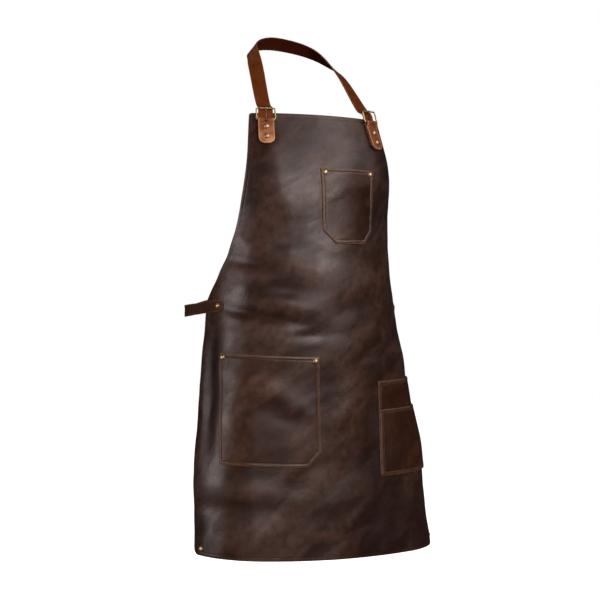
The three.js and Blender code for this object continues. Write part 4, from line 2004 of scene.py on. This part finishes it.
@dataclass
class Studio:
    """Camera, soft lights and the pale floor."""

    camera_place: tuple[float, float, float] = (-1.6204, -3.0774, -0.5723)
    camera_turn: float = -28.65
    camera_pitch: float = 0.98
    camera_lens: float = 104.48
    camera_sensor: float = 36.0
    camera_reach: float = 100.0
    room_tint: Colour = (1.0, 0.98, 0.96, 1)
    room_strength: float = 0.035
    floor_level: float = -1.40
    floor_middle: tuple[float, float] = (3.0, 7.0)
    floor_half: float = 8.0
    floor_cells: int = 4
    floor_colour: Colour = (0.9, 0.9, 0.9, 1)
    floor_roughness: float = 0.9
    floor_glow: float = 1.15
    aim: tuple[float, float, float] = (0.0, -0.2, -0.55)

    def build(self) -> None:
        """Makes the camera, the lights, the surroundings and the floor."""
        scene = bpy.context.scene
        scene.view_settings.view_transform = "Standard"
        self.camera(scene)
        self.softbox("key", 12.0, 24.0, 2.5, (1.6, 1.1), 37.0)
        self.softbox("top", 42.0, 40.0, 2.5, (1.4, 1.2), 16.0, spread=False)
        self.softbox("side", -88.0, 9.0, 2.5, (1.4, 1.0), 21.0)
        self.softbox("fill", -14.0, 6.0, 3.2, (2.2, 2.2), 46.0, mirrored=False)
        self.softbox("back", 180.0, 30.0, 3.2, (2.2, 2.2), 70.0, mirrored=False)
        self.surroundings(scene)
        self.floor()

    def camera(self, scene: bpy.types.Scene) -> None:
        """Sets the camera at the viewing angle.

        Args:
            scene: The scene that it is for.
        """
        lens = bpy.data.cameras.new("Camera")
        lens.lens = self.camera_lens
        lens.sensor_width = self.camera_sensor
        lens.clip_end = self.camera_reach
        camera = bpy.data.objects.new("Camera", lens)
        camera.location = self.camera_place
        pitch = math.radians(90 + self.camera_pitch)
        camera.rotation_euler = (pitch, 0.0, math.radians(self.camera_turn))
        scene.collection.objects.link(camera)
        scene.camera = camera

    def softbox(self, name: str, azimuth: float, elevation: float, distance: float,
                size: tuple[float, float], power: float, mirrored: bool = True,
                spread: bool = True) -> None:
        """Hangs a soft rectangular light that faces the apron.

        Args:
            name: Name of the light.
            azimuth: Degrees from straight in front, to the viewer's right.
            elevation: Degrees above level.
            distance: Metres from the apron.
            size: Width and height in metres.
            power: Watts.
            mirrored: Whether glossy surfaces show it.
            spread: Whether it lights matt surfaces.
        """
        light = bpy.data.lights.new(name, "AREA")
        light.shape = "RECTANGLE"
        light.size, light.size_y = size
        light.energy = power
        lamp = bpy.data.objects.new(name, light)
        a = math.radians(azimuth)
        e = math.radians(elevation)
        away = Vector((math.sin(a) * math.cos(e), -math.cos(a) * math.cos(e), math.sin(e)))
        lamp.location = Vector(self.aim) + away * distance
        lamp.rotation_euler = away.to_track_quat("Z", "Y").to_euler()
        lamp.visible_glossy = mirrored
        lamp.visible_diffuse = spread
        bpy.context.scene.collection.objects.link(lamp)

    def surroundings(self, scene: bpy.types.Scene) -> None:
        """White behind the apron, and a dimmer room for the light that falls on it.

        Args:
            scene: The scene that they are for.
        """
        world = bpy.data.worlds.new("Studio")
        scene.world = world
        world.use_nodes = True
        tree = world.node_tree
        tree.nodes.clear()
        seen = tree.nodes.new("ShaderNodeBackground")
        seen.inputs["Color"].default_value = WHITE
        room = tree.nodes.new("ShaderNodeBackground")
        room.inputs["Color"].default_value = self.room_tint
        room.inputs["Strength"].default_value = self.room_strength
        rays = tree.nodes.new("ShaderNodeLightPath")
        mix = tree.nodes.new("ShaderNodeMixShader")
        output = tree.nodes.new("ShaderNodeOutputWorld")
        tree.links.new(rays.outputs["Is Camera Ray"], mix.inputs["Fac"])
        tree.links.new(room.outputs["Background"], mix.inputs[1])
        tree.links.new(seen.outputs["Background"], mix.inputs[2])
        tree.links.new(mix.outputs["Shader"], output.inputs["Surface"])

    def floor(self) -> None:
        """Lays the floor under the hanging apron."""
        shader = Shader("pale floor")
        shader.surface.inputs["Base Color"].default_value = self.floor_colour
        shader.surface.inputs["Roughness"].default_value = self.floor_roughness
        shader.surface.inputs["Emission Color"].default_value = WHITE
        shader.surface.inputs["Emission Strength"].default_value = self.floor_glow
        bm = bmesh.new()
        middle = Matrix.Translation((*self.floor_middle, self.floor_level))
        bmesh.ops.create_grid(bm, x_segments=self.floor_cells, y_segments=self.floor_cells,
                              size=self.floor_half, matrix=middle)
        floor = make_object(bm, "studio_floor", [shader.material])
        floor.visible_diffuse = False
        floor.visible_glossy = False


def main() -> None:
    """Builds the apron piece by piece."""
    logging.basicConfig(level=logging.INFO, format="%(message)s")
    finishes = Finishes()
    shape = PanelShape()
    Studio().build()
    Panel(shape).build(finishes)
    chest = Pocket("chest_pocket", shape, left=-20, right=100, bottom=588, top=730,
                   cut_left=25, cut_right=26, rubbed=0.8)
    hip = Pocket("hip_pocket", shape, left=-232, right=-39, bottom=171, top=375,
                 cut_left=3, cut_right=27)
    tool = Pocket("tool_pocket_back", shape, left=95, right=235, bottom=147, top=327,
                  cut_left=3, cut_right=3, grain=Finish.TOOL)

    def over_tool(across: Array, height: Array) -> Array:
        """Distance from the panel's face at which the front tool pocket starts."""
        return tool.under(across, height) + tool.thickness + LAYER_GAP

    tool_front = Pocket("tool_pocket_front", shape, left=96.5, right=233.5, bottom=148.5, top=273,
                        cut_left=3, cut_right=3, stand=over_tool, bulge_share=0.5, grain=Finish.TOOL)
    for pocket in (chest, hip, tool):
        pocket.build(finishes, "panel_leather")
    tool_front.build(finishes, "tool_pocket_back_leather")
    Stitching("stitching_chest", thread=Finish.THREAD).build(chest, finishes, chest.seam_line())
    Stitching("stitching_hip").build(hip, finishes, hip.seam_line())
    Stitching("stitching_tool_front").build(tool_front, finishes, tool_front.seam_line())
    upper = [point for point in tool.seam_line() if point[1] > tool_front.top]
    level = tool_front.top + SEAM_CLEAR
    around = [(upper[0][0], level), upper[0], upper[1], (upper[1][0], level)]
    Stitching("stitching_tool_back").build(tool, finishes, around)
    tabs = TabPlace(shape)
    NeckStrap(tabs).build(finishes)
    loop = WaistLoop(shape)
    for side in Side:
        StrapTab(tabs).build(side, finishes)
        Buckle(tabs).build(side, finishes)
        loop.build(side, finishes)
    Hardware(shape, tabs, loop).build((chest, hip), finishes)


if __name__ == "__main__":
    main()
